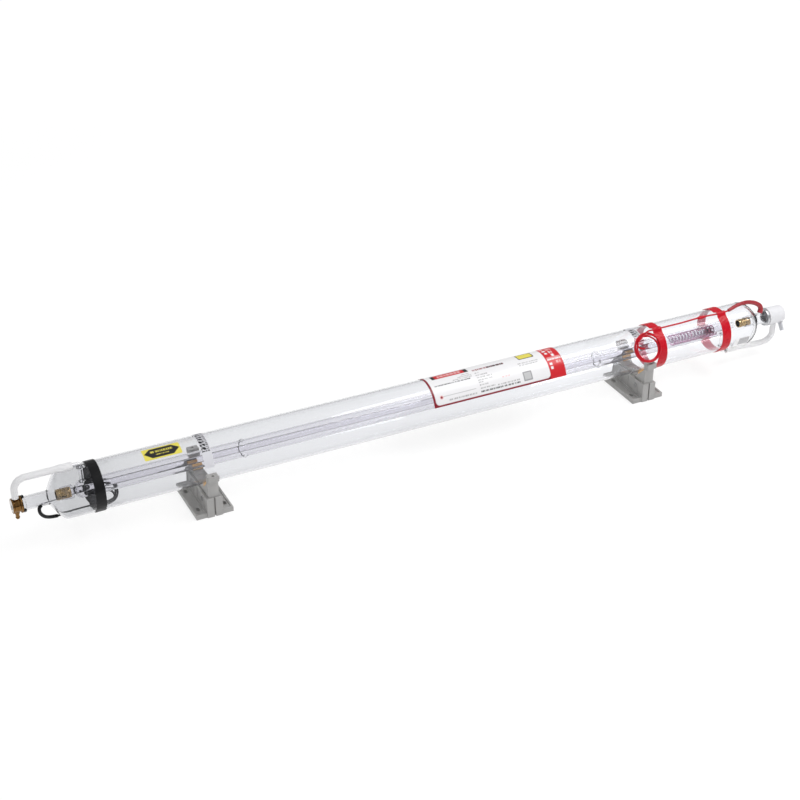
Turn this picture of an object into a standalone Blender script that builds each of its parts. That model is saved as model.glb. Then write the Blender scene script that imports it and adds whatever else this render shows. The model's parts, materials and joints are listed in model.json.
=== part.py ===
"""A glass CO2 laser tube lying on its two height-adjustable supports.

Metres, +Z up. X runs along the tube from the output end to the rear end, -Y is the
front, and the origin is on the floor below the middle of the tube.
"""
import math

import bmesh
import bpy
from mathutils import Matrix, Vector

# Clearance between pieces that touch, and round what is pushed into a hose
GAP = 0.0003
HOSE_FIT = 0.0004

# Glass envelope
TUBE_RADIUS = 0.040
AXIS_HEIGHT = TUBE_RADIUS + 0.041
WALL = 0.0025
BODY_LENGTH = 1.276
OUTPUT_SHOULDER = 0.025
REAR_SHOULDER = 0.035
NECK_RADIUS = 0.0113
OUTPUT_NECK = 0.036
REAR_NECK = 0.021
FLANGE_RADIUS = 0.0138
FLANGE_THICKNESS = 0.0043

# Inner glass
JACKET_RADIUS = 0.014
JACKET_WALL = 0.0018
JACKET_START = 0.018
JACKET_REAR_MARGIN = 0.026
JACKET_LENGTH = BODY_LENGTH - JACKET_START - JACKET_REAR_MARGIN
LEFT_JOINT_AT = 0.295
RIGHT_JOINT_AT = BODY_LENGTH - 0.310
JOINT_SWELL = 0.0016
JOINT_LENGTH = 0.006
BORE_RADIUS = 0.0055
BORE_WALL = 0.0013
BORE_OVERHANG = 0.012
COIL_TURNS = 14
COIL_PITCH = 0.007
COIL_WIRE_RADIUS = 0.0024
COIL_START = BODY_LENGTH - 0.155

# Water ports and hoses
HOSE_BORE = 0.0039
HOSE_WALL = 0.0016
HOSE_RADIUS = HOSE_BORE + HOSE_WALL
PORT_RADIUS = HOSE_BORE - HOSE_FIT
PORT_WALL = 0.0010
OUTLET_PORT_AT = 0.030
INLET_PORT_AT = BODY_LENGTH - 0.036
PORT_REACH = 0.034
HOSE_OVERLAP = 0.0215
OUTLET_HOSE_LIFT = TUBE_RADIUS + 0.0060
INLET_HOSE_DROP = TUBE_RADIUS + 0.0100
OUTLET_HOSE_BEND = 0.019
INLET_HOSE_BEND = 0.017
OUTLET_HOSE_SAG = 0.0004
INLET_HOSE_SAG = 0.0035
HOSE_LEAD_IN = 0.004

# Electrodes
CATHODE_RADIUS = 0.0086
ELECTRODE_WALL = 0.0008
CATHODE_LENGTH = 0.022
CATHODE_FROM_BODY = 0.012
ANODE_LENGTH = 0.026
ANODE_RADIUS = 0.0074
ANODE_FROM_BODY = 0.0025
PIN_RADIUS = 0.0008

# Output head
HEAD_LENGTH = 0.0156
HEAD_RADIUS = 0.0112
HEAD_RIM_RADIUS = 0.0136
HEAD_RIM = 0.0028
HEAD_STEP = 0.0010
HEAD_FITTINGS_AT = 0.0070
SPOT_FACE_LENGTH = 0.0088
SPOT_FACE_WIDTH = 0.0110
SPOT_FACE_DEPTH = 0.0009
EDGE_BREAK = 0.0005
MIRROR_RADIUS = 0.0094
MIRROR_THICKNESS = 0.0030
APERTURE_RADIUS = 0.0068
RING_THICKNESS = 0.0030
BEAM_RADIUS = 0.0052
BARB_LENGTH = 0.0155
BARB_RADIUS = HOSE_BORE - HOSE_FIT
BARB_BORE = 0.0016
BARB_FOOT_RADIUS = 0.0042
BARB_FOOT = 0.0022
BARB_TOOTH = 0.0006
NOZZLE_LENGTH = 0.0135
NOZZLE_RADIUS = 0.0042

# Rear end
REAR_FLANGE = 0.005
REAR_FLANGE_RADIUS = 0.0160
REAR_MIRROR_RADIUS = 0.0120
REAR_MIRROR_THICKNESS = 0.0040
REAR_SEAT = 0.0040
REAR_SOCKET_WALL = 0.0012
CAP_LENGTH = 0.0350
CAP_RADIUS = 0.0170
CAP_WALL = 0.0030
CAP_TAPER = 0.0010
NIPPLE_RADIUS = HOSE_BORE - HOSE_FIT
NIPPLE_BORE = 0.0017
HOSE_NIPPLE_AT = 0.0205
HOSE_NIPPLE_LENGTH = 0.011
WATER_NIPPLE_AT = 0.0290
WATER_NIPPLE_LENGTH = 0.015

# Tape
BLACK_TAPE_AT = 0.040
BLACK_TAPE_WIDTH = 0.016
RED_TAPE_LEFT_AT = BODY_LENGTH - 0.2046
RED_TAPE_RIGHT_AT = BODY_LENGTH - 0.0652
RED_TAPE_WIDTH = 0.0186
TAPE_THICKNESS = 0.0008
TAPE_BUMP_SPREAD = math.radians(11)

# Leads
RED_LEAD_RADIUS = 0.0015
RED_LEAD_ANGLE = math.radians(72)
SLEEVE_RADIUS = 0.0042
SLEEVE_WALL = 0.0018
SPLICE_RADIUS = 0.0029
SPLICE_LENGTH = 0.016
SPLICE_AT = BODY_LENGTH - 0.098
BLACK_LEAD_RADIUS = 0.0016
BLACK_SLEEVE_RADIUS = 0.0028
BLACK_LEAD_ANGLE = math.radians(-100)
LOOP_RADIUS = 0.0235
LOOP_SECTION = 0.0035
RED_LOOP_AT = BODY_LENGTH - 0.229
RED_LOOP_ANGLE = math.radians(30)
BLACK_LOOP_AT = 0.065
BLACK_LOOP_ANGLE = math.radians(-130)

# Stickers, with their place along the body
STICKER_THICKNESS = 0.0003
DATA_LABEL_LENGTH = 0.2565
DATA_LABEL_AT = BODY_LENGTH / 2 - 0.0150
ARROW_LABEL_LENGTH = 0.061
ARROW_LABEL_AT = 0.127
STRIP_WIDTH = 0.016
LEFT_STRIP_AT = 0.2165
RIGHT_STRIP_AT = BODY_LENGTH - 0.246
RATING_STICKER_LENGTH = 0.033
RATING_STICKER_AT = BODY_LENGTH - 0.036

# Supports
LEFT_SUPPORT_AT = 0.2252
RIGHT_SUPPORT_AT = BODY_LENGTH - 0.2260
CRADLE_WIDTH = 0.0177
POST_THICKNESS = 0.0060
TUBE_SIDE_CLEARANCE = 0.0006
CRADLE_DEPTH = 2 * (TUBE_RADIUS + TUBE_SIDE_CLEARANCE + POST_THICKNESS)
SIDE_WALL = 0.0039
END_WALL = 0.0029
SLEEVE_BOX_WIDTH = CRADLE_WIDTH + 2 * (GAP + SIDE_WALL)
SLEEVE_BOX_DEPTH = CRADLE_DEPTH + 2 * (GAP + END_WALL)
SLEEVE_BOX_HEIGHT = 0.0356
SLEEVE_FLOOR = 0.0030
PLATE_WING = 0.0183
PLATE_STEP = 0.0020
PLATE_WIDTH = SLEEVE_BOX_WIDTH + 2 * PLATE_WING
PLATE_DEPTH = SLEEVE_BOX_DEPTH - 2 * PLATE_STEP
PLATE_THICKNESS = 0.0085
PLATE_RIM = 0.0035
PLATE_RECESS = 0.0014
SLOT_WIDTH = 0.0056
SLOT_LENGTH = 0.0110
SLOT_X = 0.0225
SLOT_Y = 0.0290
SLIT_WIDTH = 0.0026
WALL_RECESS = 0.0010
WALL_FRAME = 0.0035
POST_TOP_BELOW_AXIS = 0.0047
SADDLE_FLOOR_DROP = TUBE_RADIUS + 0.0030
TAB_DEPTH = 0.0130
TAB_HEIGHT = 0.0095
TAB_HOLE_RADIUS = 0.0023
WEB_RECESS = 0.0012
WEB_HALF = 0.0150
PAD_THICKNESS = 0.0030
PAD_LENGTH = 0.0200
PAD_SHIFT = 0.0020
BOLT_Y = 0.0255
BOLT_Z = 0.0240
BOLT_RADIUS = 0.0020
BOLT_HEAD_RADIUS = 0.0038
BOLT_HEAD_THICKNESS = 0.0024
SOCKET_RADIUS = 0.0016
SOCKET_DEPTH = 0.0014
NUT_RADIUS = 0.0040
NUT_THICKNESS = 0.0030
POCKET_CLEARANCE = 0.0004
TAB_CHAMFER = 0.0020
WEB_MARGIN = 0.0040
PANEL_MARGIN = 0.0075
PANEL_RIB = 0.0015
BEYOND = 0.0020

# Places that follow from the sizes
OVERALL = (HEAD_LENGTH + FLANGE_THICKNESS + OUTPUT_NECK + OUTPUT_SHOULDER + BODY_LENGTH
           + REAR_SHOULDER + REAR_NECK + REAR_FLANGE + CAP_LENGTH + 3 * GAP)
HEAD_FACE = -OVERALL / 2
HEAD_BACK = HEAD_FACE + HEAD_LENGTH
FLANGE_FACE = HEAD_BACK + GAP
NECK_START = FLANGE_FACE + FLANGE_THICKNESS
SHOULDER_START = NECK_START + OUTPUT_NECK
BODY_START = SHOULDER_START + OUTPUT_SHOULDER
BODY_END = BODY_START + BODY_LENGTH
REAR_NECK_START = BODY_END + REAR_SHOULDER
REAR_NECK_END = REAR_NECK_START + REAR_NECK
REAR_MOUNT_START = REAR_NECK_END + GAP
CAP_START = REAR_MOUNT_START + REAR_FLANGE + GAP
CAP_END = CAP_START + CAP_LENGTH
JACKET_X = BODY_START + JACKET_START
JACKET_END = JACKET_X + JACKET_LENGTH
TAPE_RADIUS = TUBE_RADIUS + GAP
TUBE_AXIS = Vector((0, 0, AXIS_HEIGHT))


def clear_scene():
    """Start from nothing, whatever the file held."""
    for thing in list(bpy.data.objects):
        bpy.data.objects.remove(thing, do_unlink=True)


def new_collection(name):
    collection = bpy.data.collections.new(name)
    bpy.context.scene.collection.children.link(collection)
    return collection


clear_scene()
PARTS = new_collection("co2_laser_tube")
CUTTERS = new_collection("cutters")


def material(name, colour, roughness, metallic=0.0, transmission=0.0):
    """Principled material of one colour."""
    mat = bpy.data.materials.new(name)
    mat.use_nodes = True
    shader = mat.node_tree.nodes["Principled BSDF"]
    shader.inputs["Base Color"].default_value = (*colour, 1.0)
    shader.inputs["Roughness"].default_value = roughness
    shader.inputs["Metallic"].default_value = metallic
    shader.inputs["Transmission Weight"].default_value = transmission
    return mat


def glass(name):
    return material(name, (0.93, 0.95, 0.96), 0.03, transmission=1.0)


def finish_piece(obj, name, mat, collection=PARTS):
    """Name a piece, give it its material and put it in its collection."""
    obj.name = name
    obj.data.name = name
    if mat is not None:
        obj.data.materials.append(mat)
    for owner in list(obj.users_collection):
        owner.objects.unlink(obj)
    collection.objects.link(obj)
    return obj


def as_cutter(obj, name):
    """A guide solid that is only used to cut or join."""
    obj = finish_piece(obj, name, None, CUTTERS)
    obj.hide_render = True
    obj.display_type = "WIRE"
    return obj


def from_bmesh(bm, name):
    mesh = bpy.data.meshes.new(name)
    bm.to_mesh(mesh)
    bm.free()
    obj = bpy.data.objects.new(name, mesh)
    bpy.context.scene.collection.objects.link(obj)
    return obj


def box_solid(name, low, high):
    """Box between any two opposite corners."""
    size = [abs(b - a) for a, b in zip(low, high)]
    middle = [(a + b) / 2 for a, b in zip(low, high)]
    bm = bmesh.new()
    bmesh.ops.create_cube(bm, size=1.0)
    bmesh.ops.scale(bm, vec=size, verts=bm.verts)
    bmesh.ops.translate(bm, vec=middle, verts=bm.verts)
    return from_bmesh(bm, name)


def rod_solid(name, start, end, radius, segments=24, end_radius=None):
    """Cylinder or cone between two points."""
    start = Vector(start)
    end = Vector(end)
    along = end - start
    bm = bmesh.new()
    bmesh.ops.create_cone(bm, cap_ends=True, segments=segments, radius1=radius,
                          radius2=radius if end_radius is None else end_radius,
                          depth=along.length)
    turn = along.to_track_quat("Z", "Y").to_matrix().to_4x4()
    bmesh.ops.transform(bm, matrix=Matrix.Translation((start + end) / 2) @ turn, verts=bm.verts)
    return from_bmesh(bm, name)


def add_boolean(obj, other, operation):
    modifier = obj.modifiers.new(operation.lower(), "BOOLEAN")
    modifier.operation = operation
    modifier.solver = "EXACT"
    modifier.object = other


def cut(obj, *tools):
    for tool in tools:
        add_boolean(obj, as_cutter(tool, f"{obj.name}_cut_{len(obj.modifiers)}"), "DIFFERENCE")


def join(obj, *others):
    for other in others:
        add_boolean(obj, as_cutter(other, f"{obj.name}_join_{len(obj.modifiers)}"), "UNION")


def bevel(obj, width, segments=2, angle=40):
    modifier = obj.modifiers.new("bevel", "BEVEL")
    modifier.width = width
    modifier.segments = segments
    modifier.limit_method = "ANGLE"
    modifier.angle_limit = math.radians(angle)


def turned(name, outline, segments=32, centre=TUBE_AXIS, axis="X"):
    """Turn an outline of (station, radius) points about an axis.

    The outline goes once round the section. Where its ends are on the axis it is
    left open there, so that the solid is full.
    """
    solid = outline[0][1] < 1e-9 and outline[-1][1] < 1e-9
    doubled_area = 0.0
    for (s0, r0), (s1, r1) in zip(outline, outline[1:] + outline[:1]):
        doubled_area += r0 * s1 - r1 * s0
    if doubled_area > 0:
        outline = outline[::-1]
    bm = bmesh.new()
    points = [bm.verts.new((radius, 0, station)) for station, radius in outline]
    for first, second in zip(points, points[1:]):
        bm.edges.new((first, second))
    if not solid:
        bm.edges.new((points[-1], points[0]))
    obj = from_bmesh(bm, name)
    screw = obj.modifiers.new("turn", "SCREW")
    screw.axis = "Z"
    screw.angle = math.tau
    screw.steps = segments
    screw.render_steps = segments
    screw.use_merge_vertices = True
    screw.merge_threshold = 0.00001
    obj.location = centre
    if axis == "X":
        obj.rotation_euler = (0, math.pi / 2, 0)
    return obj


def smooth_route(points, spacing):
    """Even points on a smooth curve through the route's own points."""
    points = [Vector(p) for p in points]
    padded = [2 * points[0] - points[1]] + points + [2 * points[-1] - points[-2]]
    fine = []
    for a, b, c, d in zip(padded, padded[1:], padded[2:], padded[3:]):
        for step in range(16):
            t = step / 16
            fine.append(0.5 * (2 * b + (c - a) * t + (2 * a - 5 * b + 4 * c - d) * t * t
                               + (3 * b - a - 3 * c + d) * t ** 3))
    fine.append(points[-1])
    lengths = [0.0]
    for first, second in zip(fine, fine[1:]):
        lengths.append(lengths[-1] + (second - first).length)
    count = max(2, round(lengths[-1] / spacing) + 1)
    route = []
    index = 0
    for number in range(count):
        target = lengths[-1] * number / (count - 1)
        while index < len(fine) - 2 and lengths[index + 1] < target:
            index += 1
        share = (target - lengths[index]) / (lengths[index + 1] - lengths[index])
        route.append(fine[index].lerp(fine[index + 1], share))
    return route


def wire(name, points, radius, resolution=2, caps=True):
    """Round bar along a row of points."""
    curve = bpy.data.curves.new(name, "CURVE")
    curve.dimensions = "3D"
    spline = curve.splines.new("POLY")
    spline.points.add(len(points) - 1)
    for slot, point in zip(spline.points, points):
        slot.co = (*point, 1.0)
    curve.bevel_depth = radius
    curve.bevel_resolution = resolution
    curve.render_resolution_u = 0
    curve.use_fill_caps = caps
    obj = bpy.data.objects.new(name, curve)
    bpy.context.scene.collection.objects.link(obj)
    return obj


def pipe(name, points, radius, wall, resolution=2):
    """Open tube along a row of points, with a wall that goes inwards."""
    guide = wire(name + "_guide", points, radius, resolution, caps=False)
    bpy.context.view_layer.update()
    evaluated = guide.evaluated_get(bpy.context.evaluated_depsgraph_get())
    mesh = bpy.data.meshes.new_from_object(evaluated)
    bpy.data.objects.remove(guide, do_unlink=True)
    obj = bpy.data.objects.new(name, mesh)
    bpy.context.scene.collection.objects.link(obj)
    solidify = obj.modifiers.new("wall", "SOLIDIFY")
    solidify.thickness = wall
    solidify.offset = -1.0
    solidify.use_even_offset = True
    return obj


def on_tube(x, angle, radius):
    """Point at an angle round the tube, measured from the front upwards."""
    return Vector((x, -radius * math.cos(angle), AXIS_HEIGHT + radius * math.sin(angle)))


def face_outwards(bm):
    """Turn every face of an open skin away from the tube's axis."""
    bm.normal_update()
    for face in bm.faces:
        outwards = face.calc_center_median() - TUBE_AXIS
        outwards.x = 0
        if face.normal.dot(outwards) < 0:
            face.normal_flip()


def shoulder(start, length, small, large, steps=5):
    """Outline of a blown shoulder, which leaves the small end steeply."""
    points = []
    for step in range(steps + 1):
        share = step / steps
        points.append((start + length * share, small + (large - small) * math.sin(share * math.pi / 2)))
    return points


# Glass envelope: neck, shoulder, body, shoulder and neck, blown as one piece
def make_envelope():
    outside = [(FLANGE_FACE, FLANGE_RADIUS), (NECK_START, FLANGE_RADIUS), (NECK_START, NECK_RADIUS)]
    outside += shoulder(SHOULDER_START, OUTPUT_SHOULDER, NECK_RADIUS, TUBE_RADIUS)
    outside += shoulder(REAR_NECK_START, -REAR_SHOULDER, NECK_RADIUS, TUBE_RADIUS)[::-1]
    outside += [(REAR_NECK_END, NECK_RADIUS)]
    inside = [(FLANGE_FACE, NECK_RADIUS - WALL)]
    inside += shoulder(SHOULDER_START + WALL, OUTPUT_SHOULDER - WALL / 2, NECK_RADIUS - WALL,
                       TUBE_RADIUS - WALL)
    inside += shoulder(REAR_NECK_START - WALL, WALL / 2 - REAR_SHOULDER, NECK_RADIUS - WALL,
                       TUBE_RADIUS - WALL)[::-1]
    inside += [(REAR_NECK_END, NECK_RADIUS - WALL)]
    envelope = turned("glass_envelope", outside + inside[::-1], 32)
    finish_piece(envelope, "glass_envelope", glass("envelope_glass"))
    hole = PORT_RADIUS + GAP
    cut(envelope,
        rod_solid("outlet_hole", (BODY_START + OUTLET_PORT_AT, 0, AXIS_HEIGHT + TUBE_RADIUS / 2),
                  (BODY_START + OUTLET_PORT_AT, 0, AXIS_HEIGHT + 1.2 * TUBE_RADIUS), hole),
        rod_solid("inlet_hole", (BODY_START + INLET_PORT_AT, 0, AXIS_HEIGHT - TUBE_RADIUS / 2),
                  (BODY_START + INLET_PORT_AT, 0, AXIS_HEIGHT - 1.2 * TUBE_RADIUS), hole),
        rod_solid("cathode_pin_hole", *cathode_pin_ends(), PIN_RADIUS + GAP),
        rod_solid("anode_pin_hole", *anode_pin_ends(), PIN_RADIUS + GAP))
    return envelope


# Water jacket and discharge bore: the jacket closes down on to the bore at both ends
def make_inner_glass():
    collar = BORE_RADIUS + GAP
    closing = JACKET_RADIUS - collar
    outside = [(JACKET_X, collar)]
    outside += shoulder(JACKET_X, closing, collar + JACKET_WALL, JACKET_RADIUS, 3)
    for place in (LEFT_JOINT_AT, RIGHT_JOINT_AT):
        middle = BODY_START + place
        for step in range(3):
            share = step / 2
            swell = JOINT_SWELL * math.sin(share * math.pi) ** 2
            outside.append((middle + (share - 0.5) * JOINT_LENGTH, JACKET_RADIUS + swell))
    outside += shoulder(JACKET_END, -closing, collar + JACKET_WALL, JACKET_RADIUS, 3)[::-1]
    outside.append((JACKET_END, collar))
    inner = JACKET_RADIUS - JACKET_WALL
    inside = [(JACKET_X + JACKET_WALL, collar)]
    inside += shoulder(JACKET_X + JACKET_WALL, closing, collar, inner, 3)[1:]
    inside += shoulder(JACKET_END - JACKET_WALL, -closing, collar, inner, 3)[::-1]
    jacket = turned("water_jacket", outside + inside[::-1], 18)
    finish_piece(jacket, "water_jacket", glass("jacket_glass"))
    hole = PORT_RADIUS - PORT_WALL
    for place, side in ((OUTLET_PORT_AT, 1), (INLET_PORT_AT, -1)):
        x = BODY_START + place
        cut(jacket, rod_solid("water_hole", (x, 0, AXIS_HEIGHT + side * (BORE_RADIUS + JACKET_WALL)),
                              (x, 0, AXIS_HEIGHT + side * 2 * JACKET_RADIUS), hole, 16))

    first = JACKET_X - BORE_OVERHANG
    last = JACKET_END + BORE_OVERHANG
    outline = [(first, BORE_RADIUS), (last, BORE_RADIUS), (last, BORE_RADIUS - BORE_WALL),
               (first, BORE_RADIUS - BORE_WALL)]
    finish_piece(turned("discharge_bore", outline, 16), "discharge_bore", glass("bore_glass"))


# Gas return: a glass pipe wound round the bore inside the jacket
def make_gas_return():
    winding = (BORE_RADIUS + JACKET_RADIUS - JACKET_WALL) / 2
    points_per_turn = 7
    points = []
    for step in range(COIL_TURNS * points_per_turn + 1):
        turn = step / points_per_turn
        angle = turn * math.tau
        points.append((BODY_START + COIL_START + turn * COIL_PITCH, -winding * math.cos(angle),
                       AXIS_HEIGHT + winding * math.sin(angle)))
    coil = wire("gas_return_coil", points, COIL_WIRE_RADIUS, 2)
    finish_piece(coil, "gas_return_coil", glass("coil_glass"))


# Water ports: from the jacket straight out through the envelope, then along it
def port_route(place, side, reach_to, height):
    """Centre line of a bent port. side is 1 above the tube and -1 below it."""
    x = BODY_START + place
    foot = AXIS_HEIGHT + side * (JACKET_RADIUS + 2 * GAP)
    way = -1 if reach_to < x else 1
    bend = height - TUBE_RADIUS - 2 * GAP
    points = [Vector((x, 0, foot)), Vector((x, 0, AXIS_HEIGHT + side * TUBE_RADIUS / 2))]
    for step in range(7):
        angle = step / 6 * math.pi / 2
        points.append(Vector((x + way * bend * (1 - math.cos(angle)), 0,
                              AXIS_HEIGHT + side * (height - bend + bend * math.sin(angle)))))
    points.append(Vector((reach_to, 0, AXIS_HEIGHT + side * height)))
    return points


def make_ports():
    outlet = port_route(OUTLET_PORT_AT, 1, BODY_START + OUTLET_PORT_AT - PORT_REACH, OUTLET_HOSE_LIFT)
    inlet = port_route(INLET_PORT_AT, -1, BODY_START + INLET_PORT_AT + PORT_REACH, INLET_HOSE_DROP)
    for name, route in (("water_outlet_port", outlet), ("water_inlet_port", inlet)):
        port = pipe(name, route, PORT_RADIUS, PORT_WALL)
        finish_piece(port, name, glass(name + "_glass"))


# Electrodes: an open metal sleeve past each end of the bore, and its wire
def cathode_pin_ends():
    start = BODY_START - CATHODE_FROM_BODY
    inner = on_tube(start + CATHODE_LENGTH * 0.6, 0.0, CATHODE_RADIUS + PIN_RADIUS + GAP)
    outer = on_tube(BODY_START - 0.0400, math.radians(2), NECK_RADIUS + 0.0034)
    return inner, outer


def anode_pin_ends():
    start = BODY_END - ANODE_FROM_BODY
    inner = on_tube(start + ANODE_LENGTH * 0.75, math.radians(66), ANODE_RADIUS + PIN_RADIUS + GAP)
    outer = on_tube(REAR_NECK_START + 0.0005, math.radians(62), NECK_RADIUS + 0.0040)
    return inner, outer


def make_electrodes():
    brass = material("electrode_metal", (0.72, 0.52, 0.24), 0.28, 1.0)
    steel = material("pin_metal", (0.45, 0.45, 0.46), 0.35, 1.0)
    places = (("cathode", BODY_START - CATHODE_FROM_BODY, CATHODE_LENGTH, CATHODE_RADIUS,
               cathode_pin_ends()),
              ("anode", BODY_END - ANODE_FROM_BODY, ANODE_LENGTH, ANODE_RADIUS, anode_pin_ends()))
    for name, start, length, radius, pin in places:
        inner = radius - ELECTRODE_WALL
        lip = ELECTRODE_WALL
        outline = [(start, radius), (start + length, radius),
                   (start + length, inner - lip), (start + length - lip, inner - lip),
                   (start + length - lip, inner), (start + lip, inner),
                   (start + lip, inner - lip), (start, inner - lip)]
        finish_piece(turned(name, outline, 16), name, brass)
        finish_piece(rod_solid(name + "_pin", *pin, PIN_RADIUS, 12), name + "_pin", steel)


# Output head: brass mount with its mirror, retaining ring, hose barb and water nozzle
def make_output_head():
    brass = material("head_brass", (0.70, 0.44, 0.16), 0.3, 1.0)
    seat = HEAD_FACE + RING_THICKNESS + GAP
    back_of_mirror = seat + MIRROR_THICKNESS + GAP
    pocket = MIRROR_RADIUS + GAP
    outline = [(HEAD_FACE, HEAD_RADIUS + HEAD_STEP), (HEAD_FACE + HEAD_RIM, HEAD_RADIUS + HEAD_STEP),
               (HEAD_FACE + HEAD_RIM + HEAD_STEP, HEAD_RADIUS),
               (HEAD_BACK - HEAD_RIM - HEAD_STEP, HEAD_RADIUS), (HEAD_BACK - HEAD_RIM, HEAD_RIM_RADIUS),
               (HEAD_BACK - EDGE_BREAK, HEAD_RIM_RADIUS), (HEAD_BACK, HEAD_RIM_RADIUS - EDGE_BREAK),
               (HEAD_BACK, APERTURE_RADIUS),
               (back_of_mirror, APERTURE_RADIUS), (back_of_mirror, pocket), (HEAD_FACE, pocket)]
    mount = turned("output_mirror_mount", outline, 24)
    finish_piece(mount, "output_mirror_mount", brass)

    middle = HEAD_FACE + HEAD_FITTINGS_AT
    for side in (1, -1):
        flat = AXIS_HEIGHT + side * (HEAD_RADIUS - SPOT_FACE_DEPTH)
        cut(mount, box_solid("spot_face", (middle - SPOT_FACE_LENGTH / 2, -SPOT_FACE_WIDTH / 2, flat),
                             (middle + SPOT_FACE_LENGTH / 2, SPOT_FACE_WIDTH / 2,
                              flat + side * 5 * SPOT_FACE_DEPTH)))

    mirror = turned("output_mirror", [(seat, 0), (seat, MIRROR_RADIUS - EDGE_BREAK),
                                      (seat + EDGE_BREAK, MIRROR_RADIUS),
                                      (seat + MIRROR_THICKNESS, MIRROR_RADIUS),
                                      (seat + MIRROR_THICKNESS, 0)], 24)
    finish_piece(mirror, "output_mirror", material("mirror_coating", (0.80, 0.55, 0.30), 0.08, 0.6))

    ring_out = pocket - GAP
    ring = turned("mirror_retaining_ring", [(HEAD_FACE, BEAM_RADIUS + 2 * EDGE_BREAK),
                                            (HEAD_FACE, ring_out - EDGE_BREAK),
                                            (HEAD_FACE + EDGE_BREAK, ring_out),
                                            (HEAD_FACE + RING_THICKNESS, ring_out),
                                            (HEAD_FACE + RING_THICKNESS, BEAM_RADIUS),
                                            (HEAD_FACE + 2 * EDGE_BREAK, BEAM_RADIUS)], 24)
    finish_piece(ring, "mirror_retaining_ring", material("ring_steel", (0.72, 0.72, 0.72), 0.25, 1.0))

    foot = AXIS_HEIGHT + HEAD_RADIUS - SPOT_FACE_DEPTH + GAP
    barb = turned("head_hose_barb", barb_outline(BARB_LENGTH, BARB_RADIUS, BARB_BORE, BARB_FOOT_RADIUS), 14,
                  (middle, 0, foot), "Z")
    finish_piece(barb, "head_hose_barb", brass)

    tip = NOZZLE_RADIUS * 0.72
    nozzle = turned("head_water_nozzle", [(0, BARB_BORE), (0, NOZZLE_RADIUS), (0.0035, NOZZLE_RADIUS),
                                          (0.0042, tip), (NOZZLE_LENGTH - 0.0030, tip),
                                          (NOZZLE_LENGTH - 0.0030, tip + 0.0006),
                                          (NOZZLE_LENGTH, tip - 0.0003), (NOZZLE_LENGTH, BARB_BORE)],
                    14, (middle, 0, 2 * AXIS_HEIGHT - foot), "Z")
    nozzle.rotation_euler = (math.pi, 0, 0)
    finish_piece(nozzle, "head_water_nozzle", brass)


def barb_outline(length, radius, bore, foot_radius):
    """Outline of a hose barb that stands on its foot, with three teeth."""
    outline = [(0, bore), (0, foot_radius), (BARB_FOOT, foot_radius), (BARB_FOOT, radius - BARB_TOOTH)]
    tooth = (length - BARB_FOOT) / 3
    for number in range(3):
        base = BARB_FOOT + number * tooth
        outline.append((base + tooth * 0.35, radius - BARB_TOOTH))
        outline.append((base + tooth * 0.35, radius))
        outline.append((base + tooth, radius - BARB_TOOTH))
    outline.append((length, bore))
    return outline


# Rear end: metal mount and reflector, under a moulded cap with two water nipples
def make_rear_end():
    bore = NECK_RADIUS - WALL
    seat = CAP_START + REAR_MIRROR_THICKNESS + REAR_SEAT
    thin = REAR_SOCKET_WALL
    face = REAR_MOUNT_START
    back = face + REAR_FLANGE
    pocket = seat - REAR_MIRROR_THICKNESS
    outline = [(face, bore), (face, NECK_RADIUS + HEAD_STEP), (face + thin, NECK_RADIUS + HEAD_STEP),
               (face + thin, REAR_FLANGE_RADIUS - thin), (face, REAR_FLANGE_RADIUS - 0.7 * thin),
               (face, REAR_FLANGE_RADIUS), (back, REAR_FLANGE_RADIUS),
               (back, REAR_MIRROR_RADIUS + thin), (seat, REAR_MIRROR_RADIUS + thin),
               (seat, REAR_MIRROR_RADIUS + GAP), (pocket, REAR_MIRROR_RADIUS + GAP), (pocket, bore)]
    mount = turned("rear_mirror_mount", outline, 24)
    finish_piece(mount, "rear_mirror_mount", material("mount_steel", (0.60, 0.61, 0.63), 0.35, 1.0))

    start = pocket + GAP
    mirror = turned("rear_mirror", [(start, 0), (start, REAR_MIRROR_RADIUS),
                                    (seat, REAR_MIRROR_RADIUS), (seat, 0)], 24)
    finish_piece(mirror, "rear_mirror", material("gold_coating", (0.85, 0.65, 0.30), 0.08, 1.0))

    inner = CAP_RADIUS - CAP_WALL
    depth = CAP_END - CAP_WALL
    cap = turned("rear_cap", [(CAP_START, inner), (CAP_START, CAP_RADIUS),
                              (CAP_END - 0.0022, CAP_RADIUS - CAP_TAPER),
                              (CAP_END - 0.0006, CAP_RADIUS - CAP_TAPER - 0.0008),
                              (CAP_END, CAP_RADIUS - CAP_TAPER - 0.0024), (CAP_END, 0),
                              (depth, 0), (depth, inner)], 24)
    finish_piece(cap, "rear_cap", material("white_plastic", (0.90, 0.90, 0.91), 0.4))
    nipples = ((HOSE_NIPPLE_AT, 0.0, HOSE_NIPPLE_LENGTH), (WATER_NIPPLE_AT, 0.55, WATER_NIPPLE_LENGTH))
    for place, lean, length in nipples:
        x = CAP_START + place
        way = Vector((0.1 * lean, -lean, -1)).normalized()
        root = Vector((x, 0, AXIS_HEIGHT)) + way * (CAP_RADIUS - 0.5 * CAP_WALL)
        end = Vector((x, 0, AXIS_HEIGHT)) + way * (CAP_RADIUS + length)
        join(cap, rod_solid("nipple", root, end, NIPPLE_RADIUS, 16, NIPPLE_RADIUS * 0.88))
        cut(cap, rod_solid("nipple_bore", root - way * 2 * CAP_WALL, end + way * 0.002, NIPPLE_BORE, 12))


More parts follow.
